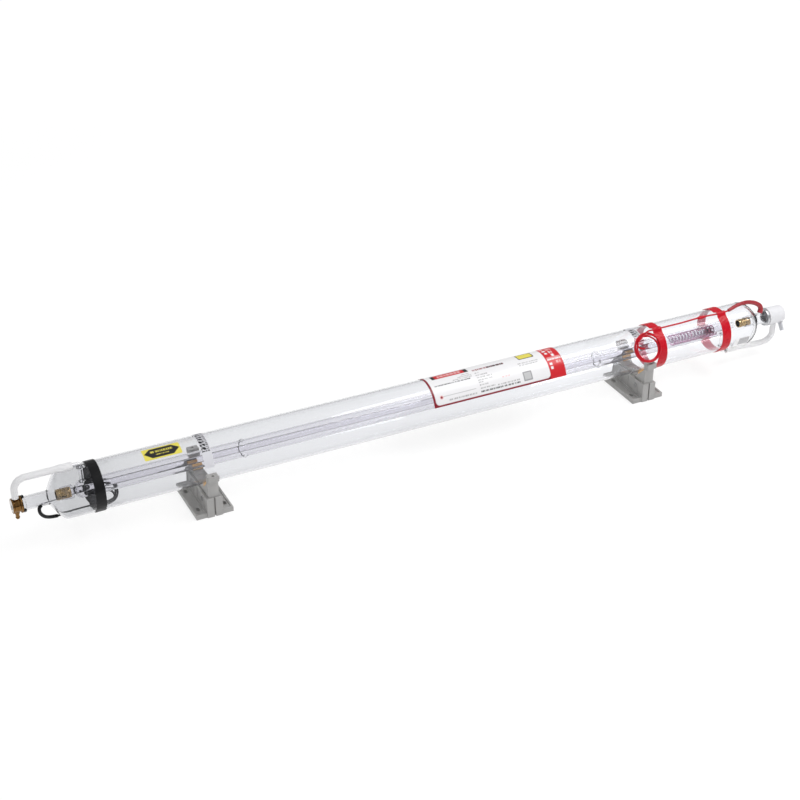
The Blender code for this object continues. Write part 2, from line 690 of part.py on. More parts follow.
# Hoses: silicone, from each port to its nipple
def make_hoses():
    silicone = material("white_silicone", (0.82, 0.84, 0.85), 0.45)
    middle = HEAD_FACE + HEAD_FITTINGS_AT
    top = AXIS_HEIGHT + OUTLET_HOSE_LIFT
    foot = AXIS_HEIGHT + HEAD_RADIUS + BARB_FOOT - SPOT_FACE_DEPTH + 2 * GAP
    end = BODY_START + OUTLET_PORT_AT - PORT_REACH + HOSE_OVERLAP
    bend = OUTLET_HOSE_BEND
    points = [(middle, 0, foot), (middle, 0, (foot + top - bend) / 2)]
    points += bend_points((middle, top - bend), (middle + bend, top))
    port_tip = end - HOSE_OVERLAP
    points += [((middle + bend + port_tip) / 2, 0, top + OUTLET_HOSE_SAG), (port_tip - HOSE_LEAD_IN, 0, top),
               (port_tip, 0, top), (end, 0, top)]
    outlet = pipe("outlet_hose", smooth_route(points, 2.2 * HOSE_RADIUS), HOSE_RADIUS, HOSE_WALL, 3)
    finish_piece(outlet, "outlet_hose", silicone)

    x = CAP_START + HOSE_NIPPLE_AT
    bottom = AXIS_HEIGHT - INLET_HOSE_DROP
    first = BODY_START + INLET_PORT_AT + PORT_REACH - HOSE_OVERLAP
    top_of_hose = AXIS_HEIGHT - CAP_RADIUS - 3 * GAP
    bend = INLET_HOSE_BEND
    points = [(x, 0, top_of_hose), (x, 0, (top_of_hose + bottom + bend) / 2)]
    low = bottom - INLET_HOSE_SAG
    level = x - bend * 1.3
    port_tip = first + HOSE_OVERLAP
    points += bend_points((x, bottom + bend), (level, low))
    points += [((level + port_tip) / 2, 0, (low + bottom) / 2), (port_tip + HOSE_LEAD_IN, 0, bottom),
               (port_tip, 0, bottom), (first, 0, bottom)]
    inlet = pipe("inlet_hose", smooth_route(points, 2.2 * HOSE_RADIUS), HOSE_RADIUS, HOSE_WALL, 3)
    finish_piece(inlet, "inlet_hose", silicone)


def bend_points(start, end):
    """Quarter bend in the XZ plane that leaves start upright and ends level."""
    points = []
    for step in range(5):
        angle = step / 4 * math.pi / 2
        points.append((start[0] + (end[0] - start[0]) * (1 - math.cos(angle)), 0,
                       start[1] + (end[1] - start[1]) * math.sin(angle)))
    return points


# Tape bands: wound on the glass, raised where a lead passes under them
def make_tape(name, start, width, mat, lead_angle, lead_radius):
    bm = bmesh.new()
    bmesh.ops.create_cone(bm, cap_ends=False, segments=44, radius1=1.0, radius2=1.0, depth=width)
    for vert in bm.verts:
        even = math.atan2(vert.co.y, vert.co.x)
        from_lead = even * (0.7 + 0.3 * (even / math.pi) ** 2)
        away = abs(from_lead) / TAPE_BUMP_SPREAD
        rise = 0.0
        if away < 1:
            rise = (2 * lead_radius + 5 * GAP) * math.cos(away * math.pi / 2) ** 2
        vert.co = on_tube(start + width / 2 + vert.co.z, lead_angle + from_lead, TAPE_RADIUS + rise)
    face_outwards(bm)
    band = from_bmesh(bm, name)
    solidify = band.modifiers.new("tape", "SOLIDIFY")
    solidify.thickness = TAPE_THICKNESS
    solidify.offset = 1.0
    finish_piece(band, name, mat)


def make_tapes():
    red = material("red_tape", (0.80, 0.03, 0.06), 0.35)
    black = material("black_tape", (0.02, 0.02, 0.02), 0.4)
    make_tape("black_tape_band", BODY_START + BLACK_TAPE_AT, BLACK_TAPE_WIDTH, black,
              BLACK_LEAD_ANGLE, BLACK_LEAD_RADIUS)
    for name, place in (("red_tape_band_left", RED_TAPE_LEFT_AT),
                        ("red_tape_band_right", RED_TAPE_RIGHT_AT)):
        make_tape(name, BODY_START + place, RED_TAPE_WIDTH, red, RED_LEAD_ANGLE, RED_LEAD_RADIUS)


# Leads: the red one runs from the anode to its loops, the black one from the cathode.
# Their free bends are listed as place along X, angle in degrees from the front, and share
# of the way from the neck's surface to the tube's surface.
SLEEVE_ROUTE = [(0.0392, 64, 0.265), (0.0424, 75, 0.440), (0.0368, 82, 0.735), (0.0252, 84.5, 0.985),
                (0.0082, 84, 1.158), (-0.0128, 81.4, 1.180), (-0.0288, 75.4, 1.174),
                (-0.0403, 72, 1.168)]
BLACK_ROUTE = [(-0.0400, -8, 0.119), (-0.0428, -29, 0.144), (-0.0418, -57, 0.312),
               (-0.0358, -78, 0.604), (-0.0258, -93, 0.915), (-0.0128, -98.3, 1.075),
               (-0.0008, -99.8, 1.100)]
RED_TAIL = [(0.0102, 67.3, 0.00455), (0.0027, 61.8, 0.00595)]
BLACK_TAIL = [(-0.0018, -96.5, 0.0045), (0.0030, -97.4, 0.0073)]


def route_from(start, bends):
    """Points of a free bend that begins at one end of the straight glass."""
    points = []
    for along, angle, share in bends:
        radius = NECK_RADIUS + share * (TUBE_RADIUS - NECK_RADIUS)
        points.append(on_tube(start + along, math.radians(angle), radius))
    return points


def tail_at(place, bends):
    """Last points of a lead, where it goes into its loops."""
    return [on_tube(BODY_START + place + along, math.radians(angle), TUBE_RADIUS + rise)
            for along, angle, rise in bends]


def red_lead_points():
    """The held stretch of the red lead, from the anode to its loops."""
    rest = TUBE_RADIUS + RED_LEAD_RADIUS + 2 * GAP
    raised = TUBE_RADIUS + SPLICE_RADIUS + 2 * GAP
    points = route_from(BODY_END, SLEEVE_ROUTE[:-1])
    tape_edge = RED_TAPE_RIGHT_AT + RED_TAPE_WIDTH
    for place, radius in ((tape_edge + 0.0065, rest + 0.0028), (tape_edge + 0.0032, rest + 0.0014),
                          (tape_edge, rest + 0.0003), (RED_TAPE_RIGHT_AT + 0.006, rest),
                          (RED_TAPE_RIGHT_AT, rest + 0.0001),
                          (SPLICE_AT + 0.014, raised), (SPLICE_AT, raised), (SPLICE_AT - 0.014, raised),
                          (SPLICE_AT - 0.045, rest), (RED_TAPE_LEFT_AT + RED_TAPE_WIDTH + 0.02, rest),
                          (RED_TAPE_LEFT_AT + RED_TAPE_WIDTH, rest), (RED_TAPE_LEFT_AT + 0.008, rest),
                          (RED_TAPE_LEFT_AT, rest), (RED_TAPE_LEFT_AT - 0.006, rest + 0.0002)):
        points.append(on_tube(BODY_START + place, RED_LEAD_ANGLE, radius))
    return points + tail_at(RED_LOOP_AT, RED_TAIL)


def black_lead_points():
    """The held stretch of the black lead, from the cathode wire to its loops."""
    rest = TUBE_RADIUS + BLACK_LEAD_RADIUS + 2 * GAP
    points = route_from(BODY_START, BLACK_ROUTE)
    for place in (BLACK_TAPE_AT - 0.012, BLACK_TAPE_AT - 0.004, BLACK_TAPE_AT + BLACK_TAPE_WIDTH / 2,
                  BLACK_TAPE_AT + BLACK_TAPE_WIDTH - 0.002, BLACK_TAPE_AT + BLACK_TAPE_WIDTH + 0.004):
        points.append(on_tube(BODY_START + place, BLACK_LEAD_ANGLE, rest))
    return points + tail_at(BLACK_LOOP_AT, BLACK_TAIL)


def make_loops(name, place, angle, mat):
    """Outer shape of the loops, a ring that lies against the glass."""
    ring = turned(name, [(LOOP_SECTION * math.sin(step / 8 * math.tau),
                          LOOP_RADIUS + LOOP_SECTION * math.cos(step / 8 * math.tau))
                         for step in range(8)], 20,
                  on_tube(BODY_START + place, angle, TAPE_RADIUS + TAPE_THICKNESS + GAP + LOOP_SECTION),
                  "Z")
    ring.rotation_euler = (math.pi / 2 - angle, 0, 0)
    finish_piece(ring, name, mat)


def make_leads():
    red = material("red_silicone", (0.62, 0.03, 0.05), 0.4)
    black = material("black_cable", (0.02, 0.02, 0.02), 0.45)
    bends = smooth_route(route_from(BODY_END, SLEEVE_ROUTE), 1.35 * SLEEVE_RADIUS)
    sleeve = pipe("anode_lead_sleeve", bends, SLEEVE_RADIUS, SLEEVE_WALL)
    finish_piece(sleeve, "anode_lead_sleeve", red)
    lead = wire("anode_lead", smooth_route(red_lead_points(), 4.5 * RED_LEAD_RADIUS), RED_LEAD_RADIUS)
    finish_piece(lead, "anode_lead", red)
    make_loops("anode_lead_coil", RED_LOOP_AT, RED_LOOP_ANGLE, red)

    half = SPLICE_LENGTH / 2
    bore = RED_LEAD_RADIUS + GAP
    centre = on_tube(BODY_START + SPLICE_AT, RED_LEAD_ANGLE, TUBE_RADIUS + SPLICE_RADIUS + 2 * GAP)
    splice = turned("lead_splice", [(-half, bore), (-half, bore + 0.0005), (0.0025 - half, SPLICE_RADIUS),
                                    (half - 0.0025, SPLICE_RADIUS), (half, bore + 0.0005), (half, bore)],
                    14, centre)
    finish_piece(splice, "lead_splice", red)

    bends = smooth_route(route_from(BODY_START, BLACK_ROUTE[:-1]), 1.8 * BLACK_SLEEVE_RADIUS)
    bore = BLACK_LEAD_RADIUS + 2 * GAP
    sleeve = pipe("cathode_lead_sleeve", bends, BLACK_SLEEVE_RADIUS, BLACK_SLEEVE_RADIUS - bore)
    finish_piece(sleeve, "cathode_lead_sleeve", black)
    lead = wire("cathode_lead", smooth_route(black_lead_points(), 3 * BLACK_LEAD_RADIUS),
                BLACK_LEAD_RADIUS)
    finish_piece(lead, "cathode_lead", black)
    make_loops("cathode_lead_coil", BLACK_LOOP_AT, BLACK_LOOP_ANGLE, black)


# Stickers: thin patches that follow the glass
def make_sticker(name, start, length, first, last, colour):
    """Patch between two angles, in degrees from the front upwards."""
    columns = 1
    rows = max(4, round((last - first) / 6))
    bm = bmesh.new()
    bmesh.ops.create_grid(bm, x_segments=columns, y_segments=rows, size=0.5)
    for vert in bm.verts:
        angle = math.radians(first + (vert.co.y + 0.5) * (last - first))
        x = BODY_START + start + (vert.co.x + 0.5) * length
        vert.co = on_tube(x, angle, TUBE_RADIUS + GAP)
    face_outwards(bm)
    patch = from_bmesh(bm, name)
    solidify = patch.modifiers.new("film", "SOLIDIFY")
    solidify.thickness = STICKER_THICKNESS
    solidify.offset = 1.0
    finish_piece(patch, name, material(name + "_print", colour, 0.5))


def make_stickers():
    make_sticker("data_label", DATA_LABEL_AT, DATA_LABEL_LENGTH, 13, 128, (0.90, 0.90, 0.90))
    make_sticker("arrow_label", ARROW_LABEL_AT, ARROW_LABEL_LENGTH, 58, 92, (0.85, 0.78, 0.15))
    make_sticker("support_strip_left", LEFT_STRIP_AT, STRIP_WIDTH, 8, 118, (0.60, 0.60, 0.62))
    make_sticker("support_strip_right", RIGHT_STRIP_AT, STRIP_WIDTH, 62, 118, (0.60, 0.60, 0.62))
    make_sticker("rating_sticker", RATING_STICKER_AT, RATING_STICKER_LENGTH, -42, -8,
                 (0.70, 0.70, 0.70))


# Support foot: a plate with raised rims and a split sleeve, moulded as one piece
def make_base(name, x, mat):
    half_width = SLEEVE_BOX_WIDTH / 2
    half_depth = SLEEVE_BOX_DEPTH / 2
    base = box_solid(name, (-PLATE_WIDTH / 2, -PLATE_DEPTH / 2, 0),
                     (PLATE_WIDTH / 2, PLATE_DEPTH / 2, PLATE_THICKNESS))
    finish_piece(base, name, mat)
    base.location.x = x
    tools = []
    for side in (-1, 1):
        near = side * (half_width + PLATE_RIM)
        far = side * (PLATE_WIDTH / 2 - PLATE_RIM)
        tools.append(box_solid("field", (near, PLATE_RIM - PLATE_DEPTH / 2, PLATE_THICKNESS - PLATE_RECESS),
                               (far, PLATE_DEPTH / 2 - PLATE_RIM, PLATE_THICKNESS + BEYOND)))
        for end in (-1, 1):
            tools.append(slot_solid("slot", side * SLOT_X, end * SLOT_Y, SLOT_WIDTH, SLOT_LENGTH,
                                    -BEYOND, PLATE_THICKNESS + BEYOND))
    for tool in tools:
        tool.location.x = x
    cut(base, *tools)

    sleeve = box_solid("sleeve", (-half_width, -half_depth, 0), (half_width, half_depth, SLEEVE_BOX_HEIGHT))
    sleeve.location.x = x
    join(base, sleeve)

    cavity_x = CRADLE_WIDTH / 2 + GAP
    cavity_y = CRADLE_DEPTH / 2 + GAP
    tools = [box_solid("cavity", (-cavity_x, -cavity_y, SLEEVE_FLOOR),
                       (cavity_x, cavity_y, SLEEVE_BOX_HEIGHT + BEYOND))]
    for end in (-1, 1):
        tools.append(box_solid("slit", (-SLIT_WIDTH / 2, end * (cavity_y - 0.001), -BEYOND),
                               (SLIT_WIDTH / 2, end * (half_depth + BEYOND), SLEEVE_BOX_HEIGHT + BEYOND)))
    wall_top = SLEEVE_BOX_HEIGHT - WALL_FRAME
    wall_low = PLATE_THICKNESS + WALL_FRAME * 0.5
    for side in (-1, 1):
        inner = side * (half_width - WALL_RECESS)
        outer = side * (half_width + BEYOND)
        for first, last in ((-half_depth + WALL_FRAME, -BOLT_Y - PANEL_MARGIN),
                            (-BOLT_Y + PANEL_MARGIN, -PANEL_RIB), (PANEL_RIB, BOLT_Y - PANEL_MARGIN),
                            (BOLT_Y + PANEL_MARGIN, half_depth - WALL_FRAME)):
            tools.append(box_solid("panel", (inner, first, wall_low), (outer, last, wall_top)))
    reach = half_width + BEYOND
    for end in (-1, 1):
        y = end * BOLT_Y
        tools.append(rod_solid("bolt_hole", (-reach, y, BOLT_Z), (reach, y, BOLT_Z), BOLT_RADIUS + GAP, 12))
        nut_floor = -half_width + NUT_THICKNESS * 0.8
        tools.append(rod_solid("nut_pocket", (nut_floor, y, BOLT_Z), (-reach, y, BOLT_Z),
                               NUT_RADIUS + POCKET_CLEARANCE, 6))
        head_floor = half_width - BOLT_HEAD_THICKNESS * 0.8
        tools.append(rod_solid("head_pocket", (head_floor, y, BOLT_Z), (reach, y, BOLT_Z),
                               BOLT_HEAD_RADIUS + POCKET_CLEARANCE, 12))
    for tool in tools:
        tool.location.x = x
    cut(base, *tools)
    return base


def slot_solid(name, x, y, width, length, low, high):
    """Upright solid with round ends, longer along Y."""
    radius = width / 2
    straight = length / 2 - radius
    bm = bmesh.new()
    corners = []
    for end in (1, -1):
        for step in range(5):
            angle = step / 4 * math.pi + (0 if end == 1 else math.pi)
            corners.append(bm.verts.new((x + radius * math.cos(angle),
                                         y + end * straight + radius * math.sin(angle), low)))
    face = bm.faces.new(corners)
    grown = bmesh.ops.extrude_face_region(bm, geom=[face])
    moved = [item for item in grown["geom"] if isinstance(item, bmesh.types.BMVert)]
    bmesh.ops.translate(bm, vec=(0, 0, high - low), verts=moved)
    bmesh.ops.recalc_face_normals(bm, faces=bm.faces)
    return from_bmesh(bm, name)


# Support saddle: a U that slides in the sleeve, with a drilled tab on each post
def saddle_points():
    """Right half of the saddle's outline in the YZ plane, bottom to top and back."""
    foot = SLEEVE_FLOOR + GAP
    top = AXIS_HEIGHT - POST_TOP_BELOW_AXIS
    outer = CRADLE_DEPTH / 2
    inner = TUBE_RADIUS + TUBE_SIDE_CLEARANCE
    pad_line = (TUBE_RADIUS + PAD_THICKNESS + 2 * GAP) * math.sqrt(2)
    floor = AXIS_HEIGHT - SADDLE_FLOOR_DROP
    tab_out = inner + TAB_DEPTH
    return [(0, foot), (outer, foot), (outer, top - TAB_HEIGHT - TAB_CHAMFER), (tab_out, top - TAB_HEIGHT),
            (tab_out, top), (inner, top), (inner, AXIS_HEIGHT - (pad_line - inner)),
            (pad_line - (AXIS_HEIGHT - floor), floor), (0, floor)]


def make_cradle(name, x, mat):
    half = CRADLE_WIDTH / 2
    bm = bmesh.new()
    corners = saddle_points()
    corners += [(-y, z) for y, z in corners[-2:0:-1]]
    face = bm.faces.new([bm.verts.new((-half, y, z)) for y, z in corners])
    grown = bmesh.ops.extrude_face_region(bm, geom=[face])
    moved = [item for item in grown["geom"] if isinstance(item, bmesh.types.BMVert)]
    bmesh.ops.translate(bm, vec=(2 * half, 0, 0), verts=moved)
    bmesh.ops.recalc_face_normals(bm, faces=bm.faces)
    cradle = from_bmesh(bm, name)
    finish_piece(cradle, name, mat)
    cradle.location.x = x
    tools = []
    top = AXIS_HEIGHT - POST_TOP_BELOW_AXIS
    tab_middle = TUBE_RADIUS + TUBE_SIDE_CLEARANCE + TAB_DEPTH * 0.64
    floor = AXIS_HEIGHT - SADDLE_FLOOR_DROP
    for end in (-1, 1):
        tools.append(rod_solid("tab_hole", (0, end * tab_middle, top - TAB_HEIGHT - 2 * TAB_CHAMFER),
                               (0, end * tab_middle, top + BEYOND), TAB_HOLE_RADIUS, 14))
        gap = BOLT_RADIUS + 3 * GAP
        tools.append(box_solid("bolt_slot", (-half - BEYOND, end * BOLT_Y - gap, -BEYOND),
                               (half + BEYOND, end * BOLT_Y + gap, BOLT_Z + gap)))
    for side in (-1, 1):
        tools.append(box_solid("web", (side * (half - WEB_RECESS), -WEB_HALF, SLEEVE_FLOOR + WEB_MARGIN),
                               (side * (half + BEYOND), WEB_HALF, floor - WEB_MARGIN)))
    for tool in tools:
        tool.location.x = x
    cut(cradle, *tools)


def make_pads(side_name, x, mat):
    """Rubber pads on the two slopes, face to face with the tube at 45 degrees."""
    for end, word in ((-1, "front"), (1, "back")):
        name = f"pad_{word}_{side_name}"
        half = CRADLE_WIDTH / 2 - EDGE_BREAK
        pad = box_solid(name, (-half, -PAD_LENGTH / 2, -PAD_THICKNESS), (half, PAD_LENGTH / 2, 0))
        angle = math.radians(45)
        away = TUBE_RADIUS + GAP
        contact = Vector((x, end * away * math.sin(angle), AXIS_HEIGHT - away * math.cos(angle)))
        along = Vector((0, end * math.cos(angle), math.sin(angle)))
        pad.location = contact + along * PAD_SHIFT
        pad.rotation_euler = (end * angle, 0, 0)
        finish_piece(pad, name, mat)
        bevel(pad, EDGE_BREAK, 1)


# Clamp bolts: across the sleeve and the open slots of the saddle, with nuts
def make_clamps(side_name, x, steel):
    half_width = SLEEVE_BOX_WIDTH / 2
    head_floor = x + half_width - BOLT_HEAD_THICKNESS * 0.8 + GAP
    nut_floor = x - half_width + NUT_THICKNESS * 0.8 - GAP
    for end, word in ((-1, "front"), (1, "back")):
        centre = (0, end * BOLT_Y, BOLT_Z)
        head = head_floor + BOLT_HEAD_THICKNESS
        tip = nut_floor - NUT_THICKNESS
        bolt = turned("bolt", [(tip, 0), (tip, BOLT_RADIUS - EDGE_BREAK), (tip + EDGE_BREAK, BOLT_RADIUS),
                               (head_floor, BOLT_RADIUS), (head_floor, BOLT_HEAD_RADIUS),
                               (head - EDGE_BREAK, BOLT_HEAD_RADIUS),
                               (head, BOLT_HEAD_RADIUS - EDGE_BREAK), (head, 0)], 14, centre)
        finish_piece(bolt, f"clamp_bolt_{word}_{side_name}", steel)
        socket = rod_solid("socket", (head - SOCKET_DEPTH, end * BOLT_Y, BOLT_Z),
                           (head + SOCKET_DEPTH, end * BOLT_Y, BOLT_Z), SOCKET_RADIUS, 6)
        cut(bolt, socket)
        nut = rod_solid("nut", (nut_floor - NUT_THICKNESS, end * BOLT_Y, BOLT_Z),
                        (nut_floor, end * BOLT_Y, BOLT_Z), NUT_RADIUS, 6)
        finish_piece(nut, f"clamp_nut_{word}_{side_name}", steel)
        cut(nut, rod_solid("thread", (nut_floor - 2 * NUT_THICKNESS, end * BOLT_Y, BOLT_Z),
                           (nut_floor + NUT_THICKNESS, end * BOLT_Y, BOLT_Z), BOLT_RADIUS + GAP, 14))


def make_supports():
    grey = material("grey_plastic", (0.42, 0.41, 0.40), 0.55)
    orange = material("orange_rubber", (0.85, 0.45, 0.12), 0.6)
    steel = material("clamp_steel", (0.55, 0.55, 0.56), 0.35, 1.0)
    for side_name, place in (("left", LEFT_SUPPORT_AT), ("right", RIGHT_SUPPORT_AT)):
        x = BODY_START + place
        make_base(f"base_{side_name}", x, grey)
        make_cradle(f"cradle_{side_name}", x, grey)
        make_pads(side_name, x, orange)
        make_clamps(side_name, x, steel)


make_envelope()
make_inner_glass()
make_gas_return()
make_ports()
make_electrodes()
make_output_head()
make_rear_end()
make_hoses()
make_tapes()
make_leads()
make_stickers()
make_supports()
bpy.context.view_layer.update()
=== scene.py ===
"""Looks of a glass CO2 laser tube that lies on two height-adjustable supports."""
import json
import math

import bpy
import bmesh
import numpy as np
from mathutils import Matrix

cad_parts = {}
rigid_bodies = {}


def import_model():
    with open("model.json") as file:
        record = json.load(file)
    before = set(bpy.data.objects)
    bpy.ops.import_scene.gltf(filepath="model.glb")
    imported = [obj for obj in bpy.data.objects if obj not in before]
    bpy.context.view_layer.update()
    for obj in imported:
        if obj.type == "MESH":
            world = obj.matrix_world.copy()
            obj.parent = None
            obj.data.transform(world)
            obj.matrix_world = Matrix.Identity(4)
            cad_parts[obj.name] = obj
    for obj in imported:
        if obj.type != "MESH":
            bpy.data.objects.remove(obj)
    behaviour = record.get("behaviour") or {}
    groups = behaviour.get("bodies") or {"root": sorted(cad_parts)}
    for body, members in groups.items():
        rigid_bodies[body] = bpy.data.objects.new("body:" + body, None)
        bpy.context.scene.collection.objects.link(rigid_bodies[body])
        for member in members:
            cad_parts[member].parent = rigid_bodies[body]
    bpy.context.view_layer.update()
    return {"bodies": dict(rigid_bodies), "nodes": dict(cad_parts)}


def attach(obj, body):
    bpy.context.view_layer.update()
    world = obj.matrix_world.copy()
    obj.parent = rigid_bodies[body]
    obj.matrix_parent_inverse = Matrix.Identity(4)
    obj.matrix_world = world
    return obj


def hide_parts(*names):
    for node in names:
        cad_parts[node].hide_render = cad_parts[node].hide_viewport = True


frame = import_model()

# View
# The photograph was taken from the front left and above, with a long lens, so that the
# output end is nearest and the tube runs up to the right.
def in_scene(name, data):
    """A new object that holds the mesh, lamp or camera, linked to the scene."""
    made = bpy.data.objects.new(name, data)
    bpy.context.collection.objects.link(made)
    return made


camera = in_scene("camera", bpy.data.cameras.new("camera"))
camera.data.lens = 70.35
camera.data.sensor_width = 36.0
camera.location = (-1.06424, -2.02713, 1.42836)
camera.rotation_euler = (math.radians(59.5007), 0.0, math.radians(-26.1697))
bpy.context.scene.camera = camera

# High-voltage leads
# Two stranded leads in silicone insulation. Each is drawn out of a glass seal, lies along
# the envelope under its tape, and ends bare in a few loose loops laid flat on the glass.
AXIS = 0.081
GLASS = 0.040
RED_LEAD = 0.0015
BLACK_LEAD = 0.0016
LOOP = 0.0235
LOOP_RISE = 0.0449
TURNS = 3
STRAND_OFFSET = 0.0022
RED_WAY = [(0.6695, -0.0083, 0.0980), (0.6722, -0.0068, 0.1036), (0.6716, -0.0054, 0.1093),
           (0.6668, -0.0044, 0.1143), (0.6555, -0.0040, 0.1204), (0.6385, -0.0047, 0.1250),
           (0.6175, -0.0072, 0.1257), (0.6015, -0.0112, 0.1242), (0.5925, -0.0130, 0.1226),
           (0.5837, -0.0131, 0.1214), (0.5760, -0.0130, 0.1210), (0.5651, -0.0130, 0.1211),
           (0.5463, -0.0134, 0.1224), (0.5323, -0.0134, 0.1224), (0.5183, -0.0134, 0.1224),
           (0.4873, -0.0130, 0.1210), (0.4643, -0.0130, 0.1210), (0.4443, -0.0130, 0.1210),
           (0.4337, -0.0130, 0.1210), (0.4257, -0.0130, 0.1210), (0.4197, -0.0131, 0.1212),
           (0.4115, -0.0172, 0.1221), (0.4040, -0.0217, 0.1215)]
BLACK_WAY = [(-0.6857, -0.0146, 0.0790), (-0.6885, -0.0135, 0.0735), (-0.6875, -0.0110, 0.0640),
             (-0.6815, -0.0060, 0.0530), (-0.6715, 0.0020, 0.0435), (-0.6585, 0.0061, 0.0393),
             (-0.6465, 0.0073, 0.0388), (-0.6177, 0.0073, 0.0394), (-0.6097, 0.0073, 0.0394),
             (-0.5977, 0.0073, 0.0394), (-0.5890, 0.0080, 0.0392), (-0.5810, 0.0092, 0.0384),
             (-0.5735, 0.0110, 0.0374)]


def on_glass(x, angle, radius):
    """Points round the tube's axis: the angle goes from the front (-Y) upwards (+Z)."""
    x, angle, radius = np.broadcast_arrays(x, angle, radius)
    return np.stack([x, -radius * np.cos(angle), AXIS + radius * np.sin(angle)], axis=-1)


def smooth_line(points):
    """Catmull-Rom line: each span is the cubic that has the chord of its neighbours as slope, in
    six steps."""
    p = np.asarray(points, float)
    p = np.vstack([2 * p[0] - p[1], p, 2 * p[-1] - p[-2]])
    a, b, c, d = (p[i:len(p) - 3 + i, None, :] for i in range(4))
    t = (np.arange(6) / 6)[None, :, None]
    line = 0.5 * (2 * b + (c - a) * t + (2 * a - 5 * b + 4 * c - d) * t ** 2
                  + (3 * b - a - 3 * c + d) * t ** 3)
    return np.vstack([line.reshape(-1, 3), p[-2]])


def skin(name, grid, along=False):
    """Mesh of a grid of points: quads between neighbours, closed across, and along where told."""
    rows, columns = grid.shape[:2]
    ids = np.arange(rows * columns).reshape(rows, columns)
    if along:
        ids = np.vstack([ids, ids[:1]])
    ids = np.hstack([ids, ids[:, :1]])
    quads = np.stack([ids[:-1, :-1], ids[:-1, 1:], ids[1:, 1:], ids[1:, :-1]], axis=-1).reshape(-1, 4)
    mesh = bpy.data.meshes.new(name)
    mesh.from_pydata(grid.reshape(-1, 3).tolist(), [], quads.tolist())
    return in_scene(name, mesh)


CREASE = math.radians(35)


def close_up(piece):
    """Merge the points of poles and seams, face outwards, and keep edges over the crease sharp."""
    bm = bmesh.new()
    bm.from_mesh(piece.data)
    bmesh.ops.remove_doubles(bm, verts=bm.verts, dist=1e-6)
    bmesh.ops.dissolve_degenerate(bm, edges=bm.edges, dist=1e-7)
    bmesh.ops.recalc_face_normals(bm, faces=bm.faces)
    bm.to_mesh(piece.data)
    bm.free()
    piece.data.shade_smooth()
    piece.data.set_sharp_from_angle(angle=CREASE)
    return piece


def round_bar(name, line, radius, sides=14, bore=0.0):
    """A circle carried along a line, upright to it, with round ends or a bore right through."""
    line = np.asarray(line, float)
    way = np.gradient(line, axis=0)
    way /= np.linalg.norm(way, axis=1, keepdims=True)
    side = np.array([0.0, 1.0, 0.0]) - way * way[:, 1:2]
    side /= np.linalg.norm(side, axis=1, keepdims=True)
    up = np.cross(way, side)
    if bore:
        walls = ((line, way, side, up, np.full(len(line), radius)),
                 (line[::-1], way[::-1], side[::-1], up[::-1], np.full(len(line), bore)))
        line, way, side, up, radii = (np.concatenate(pair) for pair in zip(*walls))
    else:
        quarter = np.linspace(0, math.pi / 2, 4)[:-1]
        nose, reach = np.sin(quarter), radius * (1 - np.cos(quarter))
        start = line[0] + way[0] * reach[:, None]
        end = line[-1] - way[-1] * reach[::-1, None]
        line = np.vstack([start, line[1:-1], end])
        count = len(nose)
        side, up = (np.vstack([np.repeat(a[:1], count, 0), a[1:-1], np.repeat(a[-1:], count, 0)])
                    for a in (side, up))
        radii = radius * np.concatenate([nose, np.ones(len(line) - 2 * count), nose[::-1]])
    turn = np.linspace(0, math.tau, sides, endpoint=False)
    ring = np.cos(turn)[None, :, None] * side[:, None] + np.sin(turn)[None, :, None] * up[:, None]
    grid = line[:, None] + ring * radii[:, None, None]
    return close_up(skin(name, grid, along=bool(bore)))


def lay_loops(way, place, angle, sense, joined, tail):
    """A lead that joins its loops at a turn: a circle in the plane that touches the glass,
    whose strand moves a quarter turn round its bundle in each loop and swings a little in and
    out, and then a bare tail inside."""
    centre = on_glass(place, angle, LOOP_RISE)
    outwards = np.array([0.0, -math.cos(angle), math.sin(angle)])
    along = np.array([1.0, 0.0, 0.0])
    upwards = np.array([0.0, math.sin(angle), math.cos(angle)])
    travel = np.linspace(joined, TURNS * math.tau - 0.05, TURNS * 16 + 1)
    at = math.pi / 2 + sense * (travel + 0.1)
    slot = -math.pi / 2 + travel / 4
    reach = LOOP + STRAND_OFFSET * np.cos(slot) + 0.0009 * np.sin(travel * 1.31)
    loops = (centre + reach[:, None] * (np.cos(at)[:, None] * along + np.sin(at)[:, None] * upwards)
             + STRAND_OFFSET * np.sin(slot)[:, None] * outwards)
    inside = np.array([centre + a * along * sense + b * upwards + c * outwards for a, b, c in tail])
    return smooth_line(np.vstack([way, loops, inside]))


def settle(piece, made, slot, *instead_of, body="tube"):
    """Give a piece its material and let it ride on its body in place of the solids it stands for."""
    piece.data.materials.clear()
    piece.data.materials.append(made)
    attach(piece, body)
    if instead_of:
        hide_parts(*instead_of)
    return piece


def feed(node, sockets):
    """Give each of a node's inputs its value, or link another node's output to it."""
    for name, value in dict(sockets).items():
        if isinstance(value, bpy.types.NodeSocket):
            node.id_data.links.new(value, node.inputs[name])
        else:
            node.inputs[name].default_value = value
    return node


def add_node(tree, kind, sockets=(), **settings):
    """A new shader node with its settings, and its inputs fed."""
    node = tree.nodes.new("ShaderNode" + kind)
    for name, value in settings.items():
        setattr(node, name, value)
    return feed(node, sockets)


def maths(tree, operation, *values, clamp=False):
    """Result of a Math node, whose values are numbers or other nodes' outputs."""
    return add_node(tree, "Math", enumerate(values), operation=operation, use_clamp=clamp).outputs[0]


